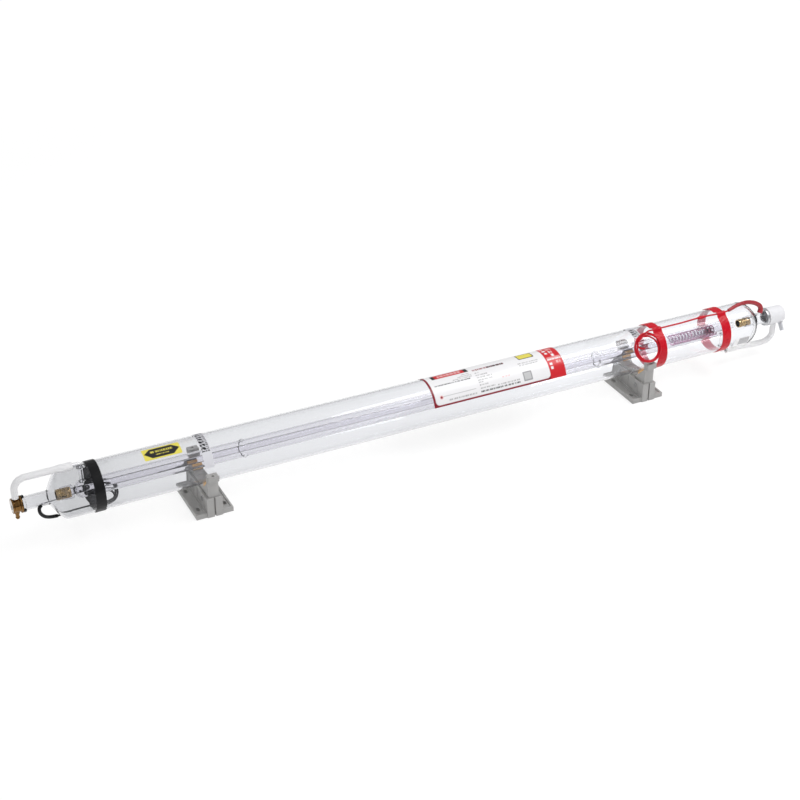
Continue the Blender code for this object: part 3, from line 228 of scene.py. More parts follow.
def variation_group():
    """Cloudy noise scales the colour and shifts the roughness; fine noise is the height."""
    group = bpy.data.node_groups.new("cloud_and_grain", "ShaderNodeTree")
    for side, names in (("INPUT", ("Color", "Roughness", "Cloud Scale", "Cloud", "Grain Scale", "Stretch")),
                        ("OUTPUT", ("Color", "Roughness", "Height"))):
        for name in names:
            kind = {"Color": "Color", "Stretch": "Vector"}.get(name, "Float")
            group.interface.new_socket(name=name, in_out=side, socket_type="NodeSocket" + kind)
    given = group.nodes.new("NodeGroupInput").outputs
    place = add_node(group, "TexCoord").outputs["Object"]
    place = add_node(group, "VectorMath", {0: place, 1: given["Stretch"]}, operation="MULTIPLY").outputs[0]
    cloud, grain = (add_node(group, "TexNoise", {"Vector": place, "Scale": given[scale], "Detail": detail})
                    for scale, detail in (("Cloud Scale", 3.0), ("Grain Scale", 2.0)))
    shift = maths(group, "MULTIPLY", maths(group, "SUBTRACT", cloud.outputs["Fac"], 0.5), given["Cloud"])
    tint = add_node(group, "VectorMath", operation="SCALE",
                    sockets={0: given["Color"], "Scale": maths(group, "ADD", shift, 1.0)})
    feed(group.nodes.new("NodeGroupOutput"), {
        "Color": tint.outputs[0], "Height": grain.outputs["Fac"],
        "Roughness": maths(group, "ADD", given["Roughness"], shift, clamp=True)})
    return group


CLOUDS = variation_group()


def finish(name, colour, roughness, metallic=0.0, cloud=0.12, cloud_scale=60.0, grain_scale=1500.0,
           grain=0.00003, stretch=(1.0, 1.0, 1.0), gloss=0.25, coat=0.0, milky=0.0, inside=None):
    """Principled material whose colour, roughness and bump come from the cloud and grain group,
    with another colour where the face attribute "inside" is 1."""
    made = bpy.data.materials.new(name)
    made.use_nodes = True
    tree = made.node_tree
    effect = add_node(tree, "Group", node_tree=CLOUDS, sockets={
        "Color": (*colour, 1.0), "Roughness": roughness, "Cloud Scale": cloud_scale, "Cloud": cloud,
        "Grain Scale": grain_scale, "Stretch": stretch}).outputs
    shown = effect["Color"]
    if inside:
        sides = add_node(tree, "Attribute", attribute_name="inside").outputs["Fac"]
        shown = add_node(tree, "Mix", {"Factor": sides, "A": shown, "B": (*inside, 1.0)},
                         data_type="RGBA").outputs["Result"]
    bump = add_node(tree, "Bump", {"Distance": grain, "Strength": 0.6, "Height": effect["Height"]})
    feed(tree.nodes["Principled BSDF"], {
        "Base Color": shown, "Roughness": effect["Roughness"], "Normal": bump.outputs["Normal"],
        "Metallic": metallic, "Specular IOR Level": gloss, "Coat Weight": coat, "Coat Roughness": 0.12,
        "Subsurface Weight": milky, "Subsurface Radius": (1.0, 1.0, 1.0), "Subsurface Scale": 0.003})
    return made


TAIL = [(-0.0082, 0.0222, -0.0002), (-0.0148, 0.0184, -0.0006), (-0.0180, 0.0120, -0.0012),
        (-0.0163, 0.0051, -0.0020), (-0.0105, 0.0013, -0.0026), (-0.0034, 0.0004, -0.0030)]
red_line = lay_loops(RED_WAY, 0.4013, math.radians(30), 1, 0.12, TAIL)
RED_SILICONE = finish("red_silicone", (0.50, 0.004, 0.016), 0.33, cloud=0.25, gloss=0.25)
BLACK_CABLE = finish("black_cable", (0.005, 0.005, 0.006), 0.42, cloud=0.3, gloss=0.15)
red_lead = settle(round_bar("anode_lead_wire", red_line, RED_LEAD), RED_SILICONE,
                  "red_silicone", "anode_lead", "anode_lead_coil")
black_line = lay_loops(BLACK_WAY, -0.5807, math.radians(-130), -1, 0.9, TAIL)
black_lead = settle(round_bar("cathode_lead_wire", black_line, BLACK_LEAD), BLACK_CABLE,
                    "black_cable", "cathode_lead", "cathode_lead_coil")

# Sleeves and splice
# A thick silicone sleeve is pushed over each lead where it bends to its glass seal, and the
# red lead has a heat-shrunk joint between the two bands of tape.
SLEEVE = 0.0042
SPLICE = 0.0029
SPLICE_LENGTH = 0.016
sleeve_line = smooth_line(RED_WAY[:9])
sleeve_radius = SLEEVE - 0.0012 + 0.0020 * np.linspace(1, 0, len(sleeve_line)) ** 0.9
sleeve = round_bar("anode_sleeve", sleeve_line, sleeve_radius, 24, bore=0.0022)
settle(sleeve, finish("red_sleeve", (0.34, 0.020, 0.030), 0.34, cloud=0.35, cloud_scale=90.0,
                      gloss=0.5), "red_silicone", "anode_lead_sleeve")
black_sleeve = round_bar("cathode_sleeve", smooth_line(BLACK_WAY[:6]), 0.0028, 20, bore=0.0021)
settle(black_sleeve, BLACK_CABLE, "black_cable", "cathode_lead_sleeve")


def turned(name, profile, place=0.0, around=72, way="X", shape=None, centre=None):
    """A closed outline of (station, radius) turned about an axis through a place on the tube's
    own, or through another centre; shape makes the radius depend on the angle."""
    station, radius = np.asarray(profile, float).T
    angle = np.linspace(0, math.tau, around, endpoint=False)
    reach = radius[:, None] * np.ones((1, around))
    if shape is not None:
        reach = shape(station[:, None], reach, angle[None, :])
    along = np.repeat(station[:, None], around, axis=1)
    if way == "X":
        grid = np.stack([along, -reach * np.cos(angle), reach * np.sin(angle)], axis=-1)
    else:
        grid = np.stack([reach * np.cos(angle), reach * np.sin(angle), along], axis=-1)
    hollow = radius[0] > 1e-9 or radius[-1] > 1e-9
    centre = (place, 0, AXIS) if centre is None else centre
    return close_up(skin(name, grid + np.asarray(centre, float), along=hollow))


def eased(profile, radius=0.0003, steps=3, closed=True):
    """Outline with every corner turned into a small arc: the arc is the parabola between the
    two points that lie a set distance before and after the corner."""
    p = np.asarray(profile, float)
    first, last = np.roll(p, 1, axis=0) - p, np.roll(p, -1, axis=0) - p
    for step in (first, last):
        length = np.linalg.norm(step, axis=1, keepdims=True)
        step *= np.minimum(radius / np.maximum(length, 1e-9), 0.4)
        step += p
    if not closed:
        first[0] = last[0] = p[0]
        first[-1] = last[-1] = p[-1]
    t = np.linspace(0, 1, steps + 1)[None, :, None]
    arc = (1 - t) ** 2 * first[:, None] + 2 * t * (1 - t) * p[:, None] + t ** 2 * last[:, None]
    return arc.reshape(-1, 2)


half = SPLICE_LENGTH / 2
swell = np.linspace(-1, 1, 13)
splice_out = np.stack([half * swell, 0.0021 + (SPLICE - 0.0021) * (1 - swell ** 4)], axis=1)
splice_in = [(half, 0.0018), (-half, 0.0018)]
splice = turned("lead_joint", np.vstack([splice_out, splice_in]), around=32,
                centre=on_glass(0.5323, math.radians(72), GLASS + SPLICE + 0.0006))
settle(splice, RED_SILICONE, "red_silicone", "lead_splice")

# Glass envelope
# Drawn borosilicate tube, blown down to a neck at each end, with a ground flange at the
# output end. The wall shows as a grey line only where it is seen along its own surface.
FLANGE_FACE = -0.7110
NECK_START = -0.7067
OUTPUT_NECK_END = -0.6707
REAR_NECK_START = 0.6653
REAR_NECK_END = 0.6863
NECK = 0.0113
WALL = 0.0025


def clear_glass(name, tint, rim, face_on=1.0, edge=3.0, along=None):
    """Clear glass: the Layer Weight facing value, raised to a power, takes the tint to the rim
    colour and the share of glass from its face-on value to 1; shadow and diffuse rays pass
    nearly all. A ramp over the length may scale the tint, given as (x in metres, factor)."""
    made = bpy.data.materials.new(name)
    made.use_nodes = True
    tree = made.node_tree
    effect = add_node(tree, "Group", node_tree=CLOUDS, sockets={
        "Color": (*tint, 1.0), "Cloud": 0.03, "Cloud Scale": 160.0, "Grain Scale": 90.0,
        "Stretch": (0.04, 1.0, 1.0)})
    if along:
        start, length = along[0][0], along[-1][0] - along[0][0]
        parts = add_node(tree, "SeparateXYZ", {0: add_node(tree, "TexCoord").outputs["Object"]})
        reach = add_node(tree, "MapRange", {"Value": parts.outputs["X"], "From Min": start,
                                            "From Max": start + length})
        ramp = add_node(tree, "ValToRGB", {"Fac": reach.outputs["Result"]})
        for _ in along[2:]:
            ramp.color_ramp.elements.new(0.5)
        for stop, (x, factor) in zip(ramp.color_ramp.elements, along):
            stop.position = (x - start) / length
            stop.color = (*(part * factor for part in tint), 1.0)
        feed(effect, {"Color": ramp.outputs["Color"]})
    facing = add_node(tree, "LayerWeight", {"Blend": 0.5}).outputs["Facing"]
    bend = maths(tree, "POWER", facing, edge)
    mix = add_node(tree, "Mix", {"Factor": bend, "A": effect.outputs["Color"], "B": (*rim, 1.0)},
                   data_type="RGBA")
    share = add_node(tree, "MapRange", {"Value": bend, "From Max": 0.6, "To Min": face_on, "To Max": 1.0})
    ray = add_node(tree, "LightPath").outputs
    passed = maths(tree, "MAXIMUM", ray["Is Shadow Ray"], ray["Is Diffuse Ray"])
    seen = maths(tree, "MULTIPLY", share.outputs["Result"],
                 maths(tree, "MULTIPLY_ADD", passed, -0.93, 1.0))
    bump = add_node(tree, "Bump", {"Distance": 0.000002, "Strength": 0.1, "Height": effect.outputs["Height"]})
    feed(tree.nodes["Principled BSDF"], {
        "Base Color": mix.outputs["Result"], "Alpha": seen, "Normal": bump.outputs["Normal"],
        "Roughness": 0.0, "IOR": 1.47, "Transmission Weight": 1.0,
        "Specular Tint": (0.45, 0.45, 0.47, 1.0)})
    return made


def blown_shoulder(start, length, small, large, steps=24):
    """Radius is the small one plus the rise times the sine of a quarter turn's share."""
    share = np.linspace(0, 1, steps + 1)
    return np.stack([start + length * share, small + (large - small) * np.sin(share * math.pi / 2)], 1)


envelope_out, envelope_in = (np.vstack([
    start, blown_shoulder(OUTPUT_NECK_END + wall, 0.025 - wall / 2, NECK - wall, GLASS - wall),
    blown_shoulder(REAR_NECK_START - wall, wall / 2 - 0.035, NECK - wall, GLASS - wall)[::-1],
    [(REAR_NECK_END, NECK - wall)]]) for wall, start in (
        (0, [(FLANGE_FACE, 0.0138), (NECK_START, 0.0138), (NECK_START, NECK)]),
        (WALL, [(FLANGE_FACE, NECK - WALL)])))
envelope = turned("glass_tube", eased(np.vstack([envelope_out, envelope_in[::-1]]), 0.0016, 2),
                  around=280)
# The ramp darkens the tint towards the output end: a painted reflection of a darker surround there, not a
# tint of the glass.
ENVELOPE_GLASS = clear_glass("envelope_glass", (0.978, 0.984, 1.0), (0.62, 0.62, 0.66), 1.0, 3.2, [
    (-0.70, 0.84), (-0.64, 0.76), (-0.55, 0.85), (-0.38, 0.90), (-0.15, 0.92), (0.15, 0.95), (0.45, 0.98),
    (0.68, 0.97)])
settle(envelope, ENVELOPE_GLASS, "clear_glass", "glass_envelope")

# Water jacket and discharge bore
# The cooling jacket is a thinner tube that is sealed down on to the bore at both ends, with a
# flame-worked joint in two places. The bore runs through it and ends inside the electrodes.
JACKET = 0.014
JACKET_WALL = 0.0018
JACKET_START = -0.6277
JACKET_END = 0.6043
BORE = 0.0055
BORE_WALL = 0.0013
collar = BORE + 0.0003
closing = JACKET - collar
joints = [np.stack([at + np.linspace(-0.004, 0.004, 13),
                    JACKET + 0.0016 * np.cos(np.linspace(-0.5, 0.5, 13) * math.pi) ** 2], 1)
          for at in (-0.3507, 0.3203)]
jacket_out = np.vstack([
    [(JACKET_START, collar)],
    blown_shoulder(JACKET_START, closing, collar + JACKET_WALL, JACKET, 12), *joints,
    blown_shoulder(JACKET_END, -closing, collar + JACKET_WALL, JACKET, 12)[::-1],
    [(JACKET_END, collar)]])
inner = JACKET - JACKET_WALL
jacket_in = np.vstack([
    blown_shoulder(JACKET_START + JACKET_WALL, closing, collar, inner, 12),
    blown_shoulder(JACKET_END - JACKET_WALL, -closing, collar, inner, 12)[::-1]])
jacket = turned("jacket_tube", eased(np.vstack([jacket_out, jacket_in[::-1]]), 0.0005), around=80)
INNER_GLASS = clear_glass("inner_glass", (0.96, 0.955, 0.975), (0.55, 0.53, 0.60), edge=2.6)
settle(jacket, INNER_GLASS, "clear_glass", "water_jacket")
bore = turned("bore_tube", eased([(-0.6397, BORE), (0.6163, BORE), (0.6163, BORE - BORE_WALL),
                                  (-0.6397, BORE - BORE_WALL)], 0.0005), around=56)
settle(bore, INNER_GLASS, "clear_glass", "discharge_bore")

# Gas return coil
# A glass pipe wound round the bore near the anode, which carries gas back past the water.
# It is fourteen turns of one bar, each a circle carried along a helix.
COIL_START = 0.4753
COIL_PITCH = 0.007
COIL_TURNS = 14
COIL_BAR = 0.0016
travel = np.linspace(0, COIL_TURNS * math.tau, COIL_TURNS * 32 + 1)[:, None, None]
section = np.linspace(0, math.tau, 14, endpoint=False)[None, :, None]
fade = np.clip(np.minimum(travel, COIL_TURNS * math.tau - travel) / 0.35, 0, 1) ** 0.5
out_way = np.concatenate([0 * travel, -np.cos(travel), np.sin(travel)], axis=-1)
along_way = np.array([1.0, 0.0, 0.0])
coil_line = (np.array([COIL_START, 0, AXIS]) + along_way * travel / math.tau * COIL_PITCH
             + out_way * (BORE + inner) / 2)
coil_grid = coil_line + COIL_BAR * fade * (np.cos(section) * out_way + np.sin(section) * along_way)
coil = close_up(skin("return_coil", coil_grid))
coil_glass = clear_glass("coil_glass", (0.70, 0.30, 0.52), (0.20, 0.03, 0.11), 0.42, 1.6, [
    (COIL_START, 1.15), (COIL_START + 0.056, 1.0), (COIL_START + 0.098, 0.48)])
settle(coil, coil_glass, "clear_glass", "gas_return_coil")

# Water ports
# Each is a thin glass pipe that is fused to the jacket and through the envelope with a small
# flared collar, and is bent over to lie along the tube, where a hose is pushed on.
PORT = 0.0035
PORT_BORE = 0.0025


def port_line(x, side, tip, lift):
    """Up from the jacket, a quarter circle, and level along the tube to its tip."""
    bend = lift - GLASS - 0.0006
    turn = np.linspace(0, math.pi / 2, 13)
    rise = np.linspace(JACKET + 0.0006, lift - bend, 8)[:-1]
    xs = np.concatenate([np.full(7, x), x + np.sign(tip - x) * bend * (1 - np.cos(turn)), [tip]])
    zs = np.concatenate([rise, lift - bend + bend * np.sin(turn), [lift]])
    return np.stack([xs, 0 * xs, AXIS + side * zs], axis=1)


def fused_collar(name, x, side, foot, pipe, flare):
    """Bell of glass: its radius falls from the flare to the pipe as one over the height."""
    height = np.linspace(0, 0.0032, 9)
    radius = pipe + (flare - pipe) * (0.0006 / (height + 0.0006)) * (1 - height / 0.0034)
    outline = np.vstack([np.stack([height, radius], 1), [(0.0032, pipe - 0.0002), (0, pipe - 0.0002)]])
    outline[:, 0] = side * (foot + outline[:, 0])
    return turned(name, outline, x, 40, way="Z")


PORT_GLASS = clear_glass("port_glass", (0.97, 0.97, 0.98), (0.74, 0.74, 0.78), edge=3.4)
for name, x, side, tip, lift, node in (
        ("outlet_pipe", -0.6157, 1, -0.6497, 0.046, "water_outlet_port"),
        ("inlet_pipe", 0.5943, -1, 0.6283, 0.050, "water_inlet_port")):
    pipe = round_bar(name, port_line(x, side, tip, lift), PORT, 28, bore=PORT_BORE)
    settle(pipe, PORT_GLASS, "clear_glass", node)
    for place, foot, flare in (("wall", GLASS - 0.0006, 0.0068), ("jacket", JACKET - 0.0002, 0.0056)):
        bell = fused_collar(f"{name}_{place}_seal", x, side, foot, PORT, flare)
        settle(bell, PORT_GLASS, "clear_glass")

# Electrodes
# Rolled metal sleeves round the ends of the bore. Each is held in a glass bell, and its wire
# goes out through a sealed pip in the shoulder to the lead.
ELECTRODE_WALL = 0.0008
# The sleeves' inner faces are painted near black: painted shade in their hollows.
GOLD = finish("electrode_gold", (0.46, 0.33, 0.17), 0.24, 1.0, cloud=0.6, cloud_scale=220.0,
              grain_scale=900.0, stretch=(1.0, 0.25, 0.25), inside=(0.05, 0.04, 0.035))
PIN_STEEL = finish("pin_wire", (0.09, 0.09, 0.10), 0.35, 1.0, cloud=0.3)


def mark_inside(piece):
    """Face attribute, 1 where the normal points towards the tube's axis and 0 elsewhere."""
    mesh = piece.data
    normal, centre = np.empty(len(mesh.polygons) * 3), np.empty(len(mesh.polygons) * 3)
    mesh.polygons.foreach_get("normal", normal)
    mesh.polygons.foreach_get("center", centre)
    outwards = centre.reshape(-1, 3)[:, 1:] - (0, AXIS)
    share = (normal.reshape(-1, 3)[:, 1:] * outwards).sum(1) / np.linalg.norm(outwards, axis=1)
    mark = mesh.attributes.new("inside", "FLOAT", "FACE")
    mark.data.foreach_set("value", (share < -0.5).astype(np.float32))
    return piece


for name, start, length, radius, bell_from, ends in (
        ("cathode", -0.6577, 0.022, 0.0086, -0.6507, ((-0.6445, -0.0097, 0.0810),
                                                      (-0.6857, -0.0147, 0.0815))),
        ("anode", 0.6278, 0.026, 0.0074, 0.6420, ((0.6473, -0.0035, 0.0888),
                                                  (0.6658, -0.0072, 0.0945)))):
    hollow = radius - ELECTRODE_WALL
    beads = [(length * share + step, radius + lift)
             for share in (0.16, 0.84) for step, lift in ((-0.0009, 0), (0, 0.0006), (0.0009, 0))]
    lip, mouth = ELECTRODE_WALL, hollow - ELECTRODE_WALL
    outline = [(0, radius), *beads, (length, radius), (length, mouth), (length - lip, mouth),
               (length - lip, hollow), (lip, hollow), (lip, mouth), (0, mouth)]
    shell = turned(name + "_sleeve", eased(outline, 0.00025), start, 64)
    settle(mark_inside(shell), GOLD, "electrode_metal", name)
    bell_out = blown_shoulder(bell_from, 0.008, radius + 0.0012, radius + 0.0024, 10)
    bell_end = start + length + 0.003
    bell = np.vstack([bell_out, [(bell_end, radius + 0.0024), (bell_end + 0.0014, radius + 0.0010),
                                 (bell_end + 0.0010, radius + 0.0003), (bell_end, radius + 0.0016)],
                      (bell_out - (0, 0.0008))[::-1]])
    settle(turned(name + "_bell", eased(bell, 0.0003), around=64), INNER_GLASS, "clear_glass")
    wire_line = smooth_line(np.linspace(ends[0], ends[1], 5))
    settle(round_bar(name + "_wire", wire_line, 0.0007, 10), PIN_STEEL, "pin_metal", name + "_pin")
    # The wire leaves through a bead of glass that is melted round it
    way = np.subtract(ends[1], ends[0])
    share = np.linspace(0.62, 0.97, 15)
    bead_line = np.asarray(ends[0]) + share[:, None] * way
    bead_radius = 0.0010 + 0.0011 * np.sin((share - 0.62) / 0.35 * math.pi) ** 0.7
    bead = round_bar(name + "_seal_bead", bead_line, bead_radius, 20, bore=0.0009)
    settle(bead, INNER_GLASS, "clear_glass")

# Output head
# Turned brass mount on the end of the neck. It holds the output mirror behind a screwed steel
# ring, and has a flat at the top for the hose barb and one below for the water nozzle.
HEAD_FACE = -0.7269
HEAD = 0.0112
HEAD_RIM = 0.0136
HEAD_FLAT = 0.0103
HEAD_LENGTH = 0.0156
FITTINGS = 0.0070
FITTINGS_RISE = 0.0106
FLAT_REACH = 0.0044
BRASS = finish("head_brass", (0.22, 0.12, 0.042), 0.20, 1.0, cloud=0.7, cloud_scale=150.0,
               grain_scale=1400.0, stretch=(3.0, 0.3, 0.3))


def with_flats(station, reach, angle):
    """Radius of the head, held to the height of its flats over the sine near top and bottom."""
    near = np.abs(station - FITTINGS) < FLAT_REACH
    flat = HEAD_FLAT / np.maximum(np.abs(np.sin(angle)), 0.2)
    return np.where(near & (reach > HEAD_FLAT - 0.0002), np.minimum(reach, flat), reach)


# Two stations stand close on either side of each end of the flats, so that the step is crisp
flat_start, flat_end = ((end - 0.00001, end + 0.00001) for end in (FITTINGS - FLAT_REACH,
                                                                   FITTINGS + FLAT_REACH))
front_run = [(x, HEAD + 0.0010) for x in (0, *flat_start, 0.0028)]
middle_run = [(x, HEAD) for x in (0.0038, 0.0040, FITTINGS, 0.0095, *flat_end, HEAD_LENGTH - 0.0038)]
head_outline = [*front_run, *middle_run, (HEAD_LENGTH - 0.0028, HEAD_RIM), (HEAD_LENGTH, HEAD_RIM),
                (HEAD_LENGTH, 0.0068), (0.0066, 0.0068), (0.0066, 0.0097), (0, 0.0097)]
head = turned("output_head", eased(head_outline, 0.00035, 2), HEAD_FACE, 96, shape=with_flats)
settle(head, BRASS, "head_brass", "output_mirror_mount")

teeth = [(0.0022 + 0.00443 * (number + part), radius) for number in range(3)
         for part, radius in ((0.30, 0.0029), (0.38, 0.0035), (1.0, 0.0029))]
barb = turned("hose_barb", eased([(0, 0.0016), (0, 0.0042), (0.0022, 0.0042), (0.0022, 0.0029), *teeth,
                                  (0.0155, 0.0016)], 0.0003, 2), around=40, way="Z",
              centre=(HEAD_FACE + FITTINGS, 0, AXIS + FITTINGS_RISE))
settle(barb, BRASS, "head_brass", "head_hose_barb")
nozzle_outline = [(0, 0.0016), (0, 0.0042), (0.0035, 0.0042), (0.0048, 0.0033), (0.0100, 0.0028),
                  (0.0105, 0.0036), (0.0135, 0.0025), (0.0135, 0.0016)]
nozzle = turned("water_nozzle", eased(np.array(nozzle_outline) * (-1, 1), 0.0004), around=40, way="Z",
                centre=(HEAD_FACE + FITTINGS, 0, AXIS - FITTINGS_RISE))
settle(nozzle, BRASS, "head_brass", "head_water_nozzle")

ring = turned("retaining_ring", eased([(0, 0.0062), (0, 0.0091), (0.0003, 0.0094), (0.003, 0.0094),
                                       (0.003, 0.0052), (0.001, 0.0052)], 0.0002, 2), HEAD_FACE, 96)
settle(ring, finish("ring_steel", (0.62, 0.62, 0.62), 0.28, 1.0, cloud=0.2, cloud_scale=300.0,
                    stretch=(3.0, 0.3, 0.3)), "ring_steel", "mirror_retaining_ring")


def coated_disc(name, place, thick, radius):
    """A disc of the given thickness, turned as an open outline, so that its faces stay flat."""
    outline = eased([(0, 0), (0, radius), (thick, radius), (thick, 0)], 0.0003, 2, closed=False)
    return turned(name, outline, place, 64)


settle(coated_disc("output_optic", HEAD_FACE + 0.0033, 0.003, 0.0094),
       finish("mirror_coating", (0.30, 0.18, 0.10), 0.10, 1.0, cloud=0.10), "mirror_coating", "output_mirror")

# Rear mount and cap
# A steel disc fused to the rear neck carries the coated rear reflector. A moulded white cap
# covers both and has two nipples of the same plastic for the cooling water.
REAR_FACE = 0.6866
CAP_START = 0.6919
CAP_LENGTH = 0.035
REAR_SEAT = 0.0133
rear_outline = [(0, 0.0088), (0, 0.0123), (0.0012, 0.0123), (0.0012, 0.0148), (0, 0.0151), (0, 0.0160),
                (0.005, 0.0160), (0.005, 0.0132), (REAR_SEAT, 0.0132), (REAR_SEAT, 0.0123),
                (REAR_SEAT - 0.004, 0.0123), (REAR_SEAT - 0.004, 0.0088)]
disc = turned("rear_disc", eased(rear_outline, 0.0003, 2), REAR_FACE, 96)
settle(disc, finish("mount_steel", (0.62, 0.63, 0.65), 0.40, 1.0, cloud=0.3, cloud_scale=220.0,
                    stretch=(3.0, 0.3, 0.3)), "ring_steel", "rear_mirror_mount")
settle(coated_disc("rear_reflector", REAR_FACE + REAR_SEAT - 0.0037, 0.0037, 0.012),
       finish("rear_coating", (0.34, 0.31, 0.31), 0.12, 1.0, cloud=0.08), "mirror_coating", "rear_mirror")
CAP_WHITE = finish("cap_plastic", (0.72, 0.72, 0.745), 0.38, cloud=0.06, grain=0.00002, coat=0.1,
                   milky=0.15)
cap_outline = [(CAP_LENGTH, 0), (CAP_LENGTH, 0.0136), (CAP_LENGTH - 0.0006, 0.0152),
               (CAP_LENGTH - 0.0022, 0.0160), (0.0016, 0.01692), (0.0010, 0.0170), (0, 0.0170),
               (0, 0.0140), (CAP_LENGTH - 0.003, 0.0140), (CAP_LENGTH - 0.003, 0)]
cap = turned("end_cap", eased(cap_outline, 0.0005, closed=False), CAP_START, 96)
settle(cap, CAP_WHITE, "white_plastic", "rear_cap")
# The nipples are the cap's plastic painted darker: painted shade on them where they hang under the cap.
NIPPLE_SHADED_PLASTIC = finish("nipple_shaded_plastic", (0.52, 0.53, 0.56), 0.30, cloud=0.05, milky=0.3)
for number, (place, lean, reach, wide) in enumerate(((0.0205, 0.0, 0.011, 0.0035),
                                                     (0.029, 0.55, 0.015, 0.0041))):
    way = np.array([0.1 * lean, -lean, -1.0])
    way /= np.linalg.norm(way)
    travel = np.linspace(0, reach + 0.0012, 22)
    line = np.array([CAP_START + place, 0, AXIS]) + (0.0158 + travel[:, None]) * way
    radius = wide - 0.00042 * travel / reach + 0.0012 * np.exp(-np.maximum(travel - 0.0008, 0) / 0.0006)
    nipple = round_bar(f"cap_nipple_{number + 1}", line, radius, 32, bore=0.0017)
    settle(nipple, NIPPLE_SHADED_PLASTIC, "white_plastic")

# Hoses
# Short lengths of milky silicone hose, pushed over the fitting at one end and over the bent
# glass pipe at the other, where the hose is stretched a little wider.
HOSE = 0.0055
HOSE_BORE = 0.0036
SILICONE = finish("white_silicone", (0.90, 0.90, 0.92), 0.33, cloud=0.10, cloud_scale=90.0,
                  gloss=0.4, milky=0.5)
feed(SILICONE.node_tree.nodes["Principled BSDF"], {"Transmission Weight": 0.12})


def hose_line(x, foot, level, end, bend_x, bend_z, tip, sag):
    """Upright from its foot, a quarter ellipse to below the level by the sag, and then along to
    its end, rising to the level by a smooth step that is done at the glass pipe's tip."""
    turn = np.linspace(0, math.pi / 2, 15)
    side = np.sign(end - x)
    sense = np.sign(level - foot)
    low = level - sag
    rise = np.linspace(foot, low - sense * bend_z, 8)[:-1]
    run = np.linspace(x + side * bend_x, end, 34)[1:]
    xs = np.concatenate([np.full(7, x), x + side * bend_x * (1 - np.cos(turn)), run])
    zs = np.concatenate([rise, low - sense * bend_z * (1 - np.sin(turn)), np.full(33, low)])
    done = np.clip((xs - x - side * bend_x) / (tip - x - side * bend_x), 0, 1)
    return np.stack([xs, 0 * xs, zs + sag * done * done * (3 - 2 * done)], axis=1)


for name, node, swell, route in (
        ("outlet_tube", "outlet_hose", 0.0010, {
            "x": -0.7199, "foot": 0.0941, "level": 0.1270, "end": -0.6282,
            "bend_x": 0.019, "bend_z": 0.019, "tip": -0.6497, "sag": 0.0}),
        ("inlet_tube", "inlet_hose", 0.0005, {
            "x": 0.7124, "foot": 0.0631, "level": 0.0310, "end": 0.6068,
            "bend_x": 0.0221, "bend_z": 0.017, "tip": 0.6283, "sag": 0.0035})):
    line = hose_line(**route)
    over = (line[:, 0] - route["tip"]) * np.sign(route["end"] - route["x"])
    wider = swell / (1 + np.exp(-(over + 0.001) / 0.0014)) * (1 - 0.35 * np.clip(over / 0.02, 0, 1))
    mouth = 0.0003 * np.exp(-np.linalg.norm(line - line[-1], axis=1) / 0.0010)
    hose = round_bar(name, line, HOSE - 0.0001 + wider + mouth, 40, bore=HOSE_BORE)
    settle(hose, SILICONE, "white_silicone", node)

# Tape bands
# Plastic tape wound round the glass to hold the leads down. It stands up in a ridge over a
# lead, is creased beside it and overlaps at its end; its sticky side is paler.
TAPE_INSIDE = GLASS + 0.0003
TAPE_FILM = 0.0008
RIDGE_SPREAD = math.radians(11)


def tape_band(name, start, width, lead_angle, lead, seed):
    """Radius is the glass plus the film, plus a squared cosine ridge over the lead, plus folds
    that fade with the distance from the ridge, plus the step of the overlap."""
    shift = np.random.default_rng(seed).uniform(0, math.tau, 6)

    def folded(station, reach, angle):
        from_lead = (angle - lead_angle + math.pi) % math.tau - math.pi
        away = np.clip(np.abs(from_lead) / RIDGE_SPREAD, 0, 1)
        ridge = (2 * lead + 0.0015) * np.cos(away * math.pi / 2) ** 2
        fold = sum(np.sin(angle * rate + station * slope + phase) for rate, slope, phase in
                   zip((23, 41, 67, 11, 5, 90), (260, -420, 700, 150, -90, 1100), shift))
        outer = reach > TAPE_INSIDE + TAPE_FILM / 2
        near = np.exp(-(np.abs(from_lead) / 0.5) ** 2)
        lap = 0.00022 * ((from_lead > 0.55) & (from_lead < 1.05))
        return reach + ridge + outer * (0.00005 + 0.00010 * near) * (fold - 1) + outer * lap

    stations = np.linspace(start, start + width, 15)
    outer = np.stack([stations, np.full(15, TAPE_INSIDE + TAPE_FILM)], 1)
    outer[[0, -1], 1] -= 0.0002
    inner_side = np.stack([stations[::-1], np.full(15, TAPE_INSIDE)], 1)
    return turned(name, np.vstack([outer, inner_side]), around=300, shape=folded)


RED_TAPE = finish("red_tape", (0.52, 0.004, 0.016), 0.27, cloud=0.30, cloud_scale=60.0,
                  grain_scale=2200.0, gloss=0.22, inside=(0.74, 0.22, 0.28))
BLACK_TAPE = finish("black_tape", (0.005, 0.005, 0.006), 0.36, cloud=0.25, grain_scale=2200.0,
                    inside=(0.012, 0.012, 0.013))
for name, node, start, width, lead_angle, lead, made, slot, seed in (
        ("black_tape", "black_tape_band", -0.6057, 0.016, -100, BLACK_LEAD, BLACK_TAPE, "black_tape", 3),
        ("red_tape_1", "red_tape_band_left", 0.4257, 0.0186, 72, RED_LEAD, RED_TAPE, "red_tape", 5),
        ("red_tape_2", "red_tape_band_right", 0.5651, 0.0186, 72, RED_LEAD, RED_TAPE, "red_tape", 8)):
    band = mark_inside(tape_band(name, start, width, math.radians(lead_angle), lead, seed))
    settle(band, made, slot, node)

# Stickers
# Printed film stuck to the glass. The print is plain fields, rules and word-like marks in the
# colours of the real one, with no lettering, and is painted on the film's own points.
FILM_UNDER = GLASS + 0.0003
FILM_TOP = GLASS + 0.0006
MM_PER_DEGREE = FILM_TOP * math.radians(1) * 1000
INK_EDGE = 0.7
PRINT_STEP = 0.65


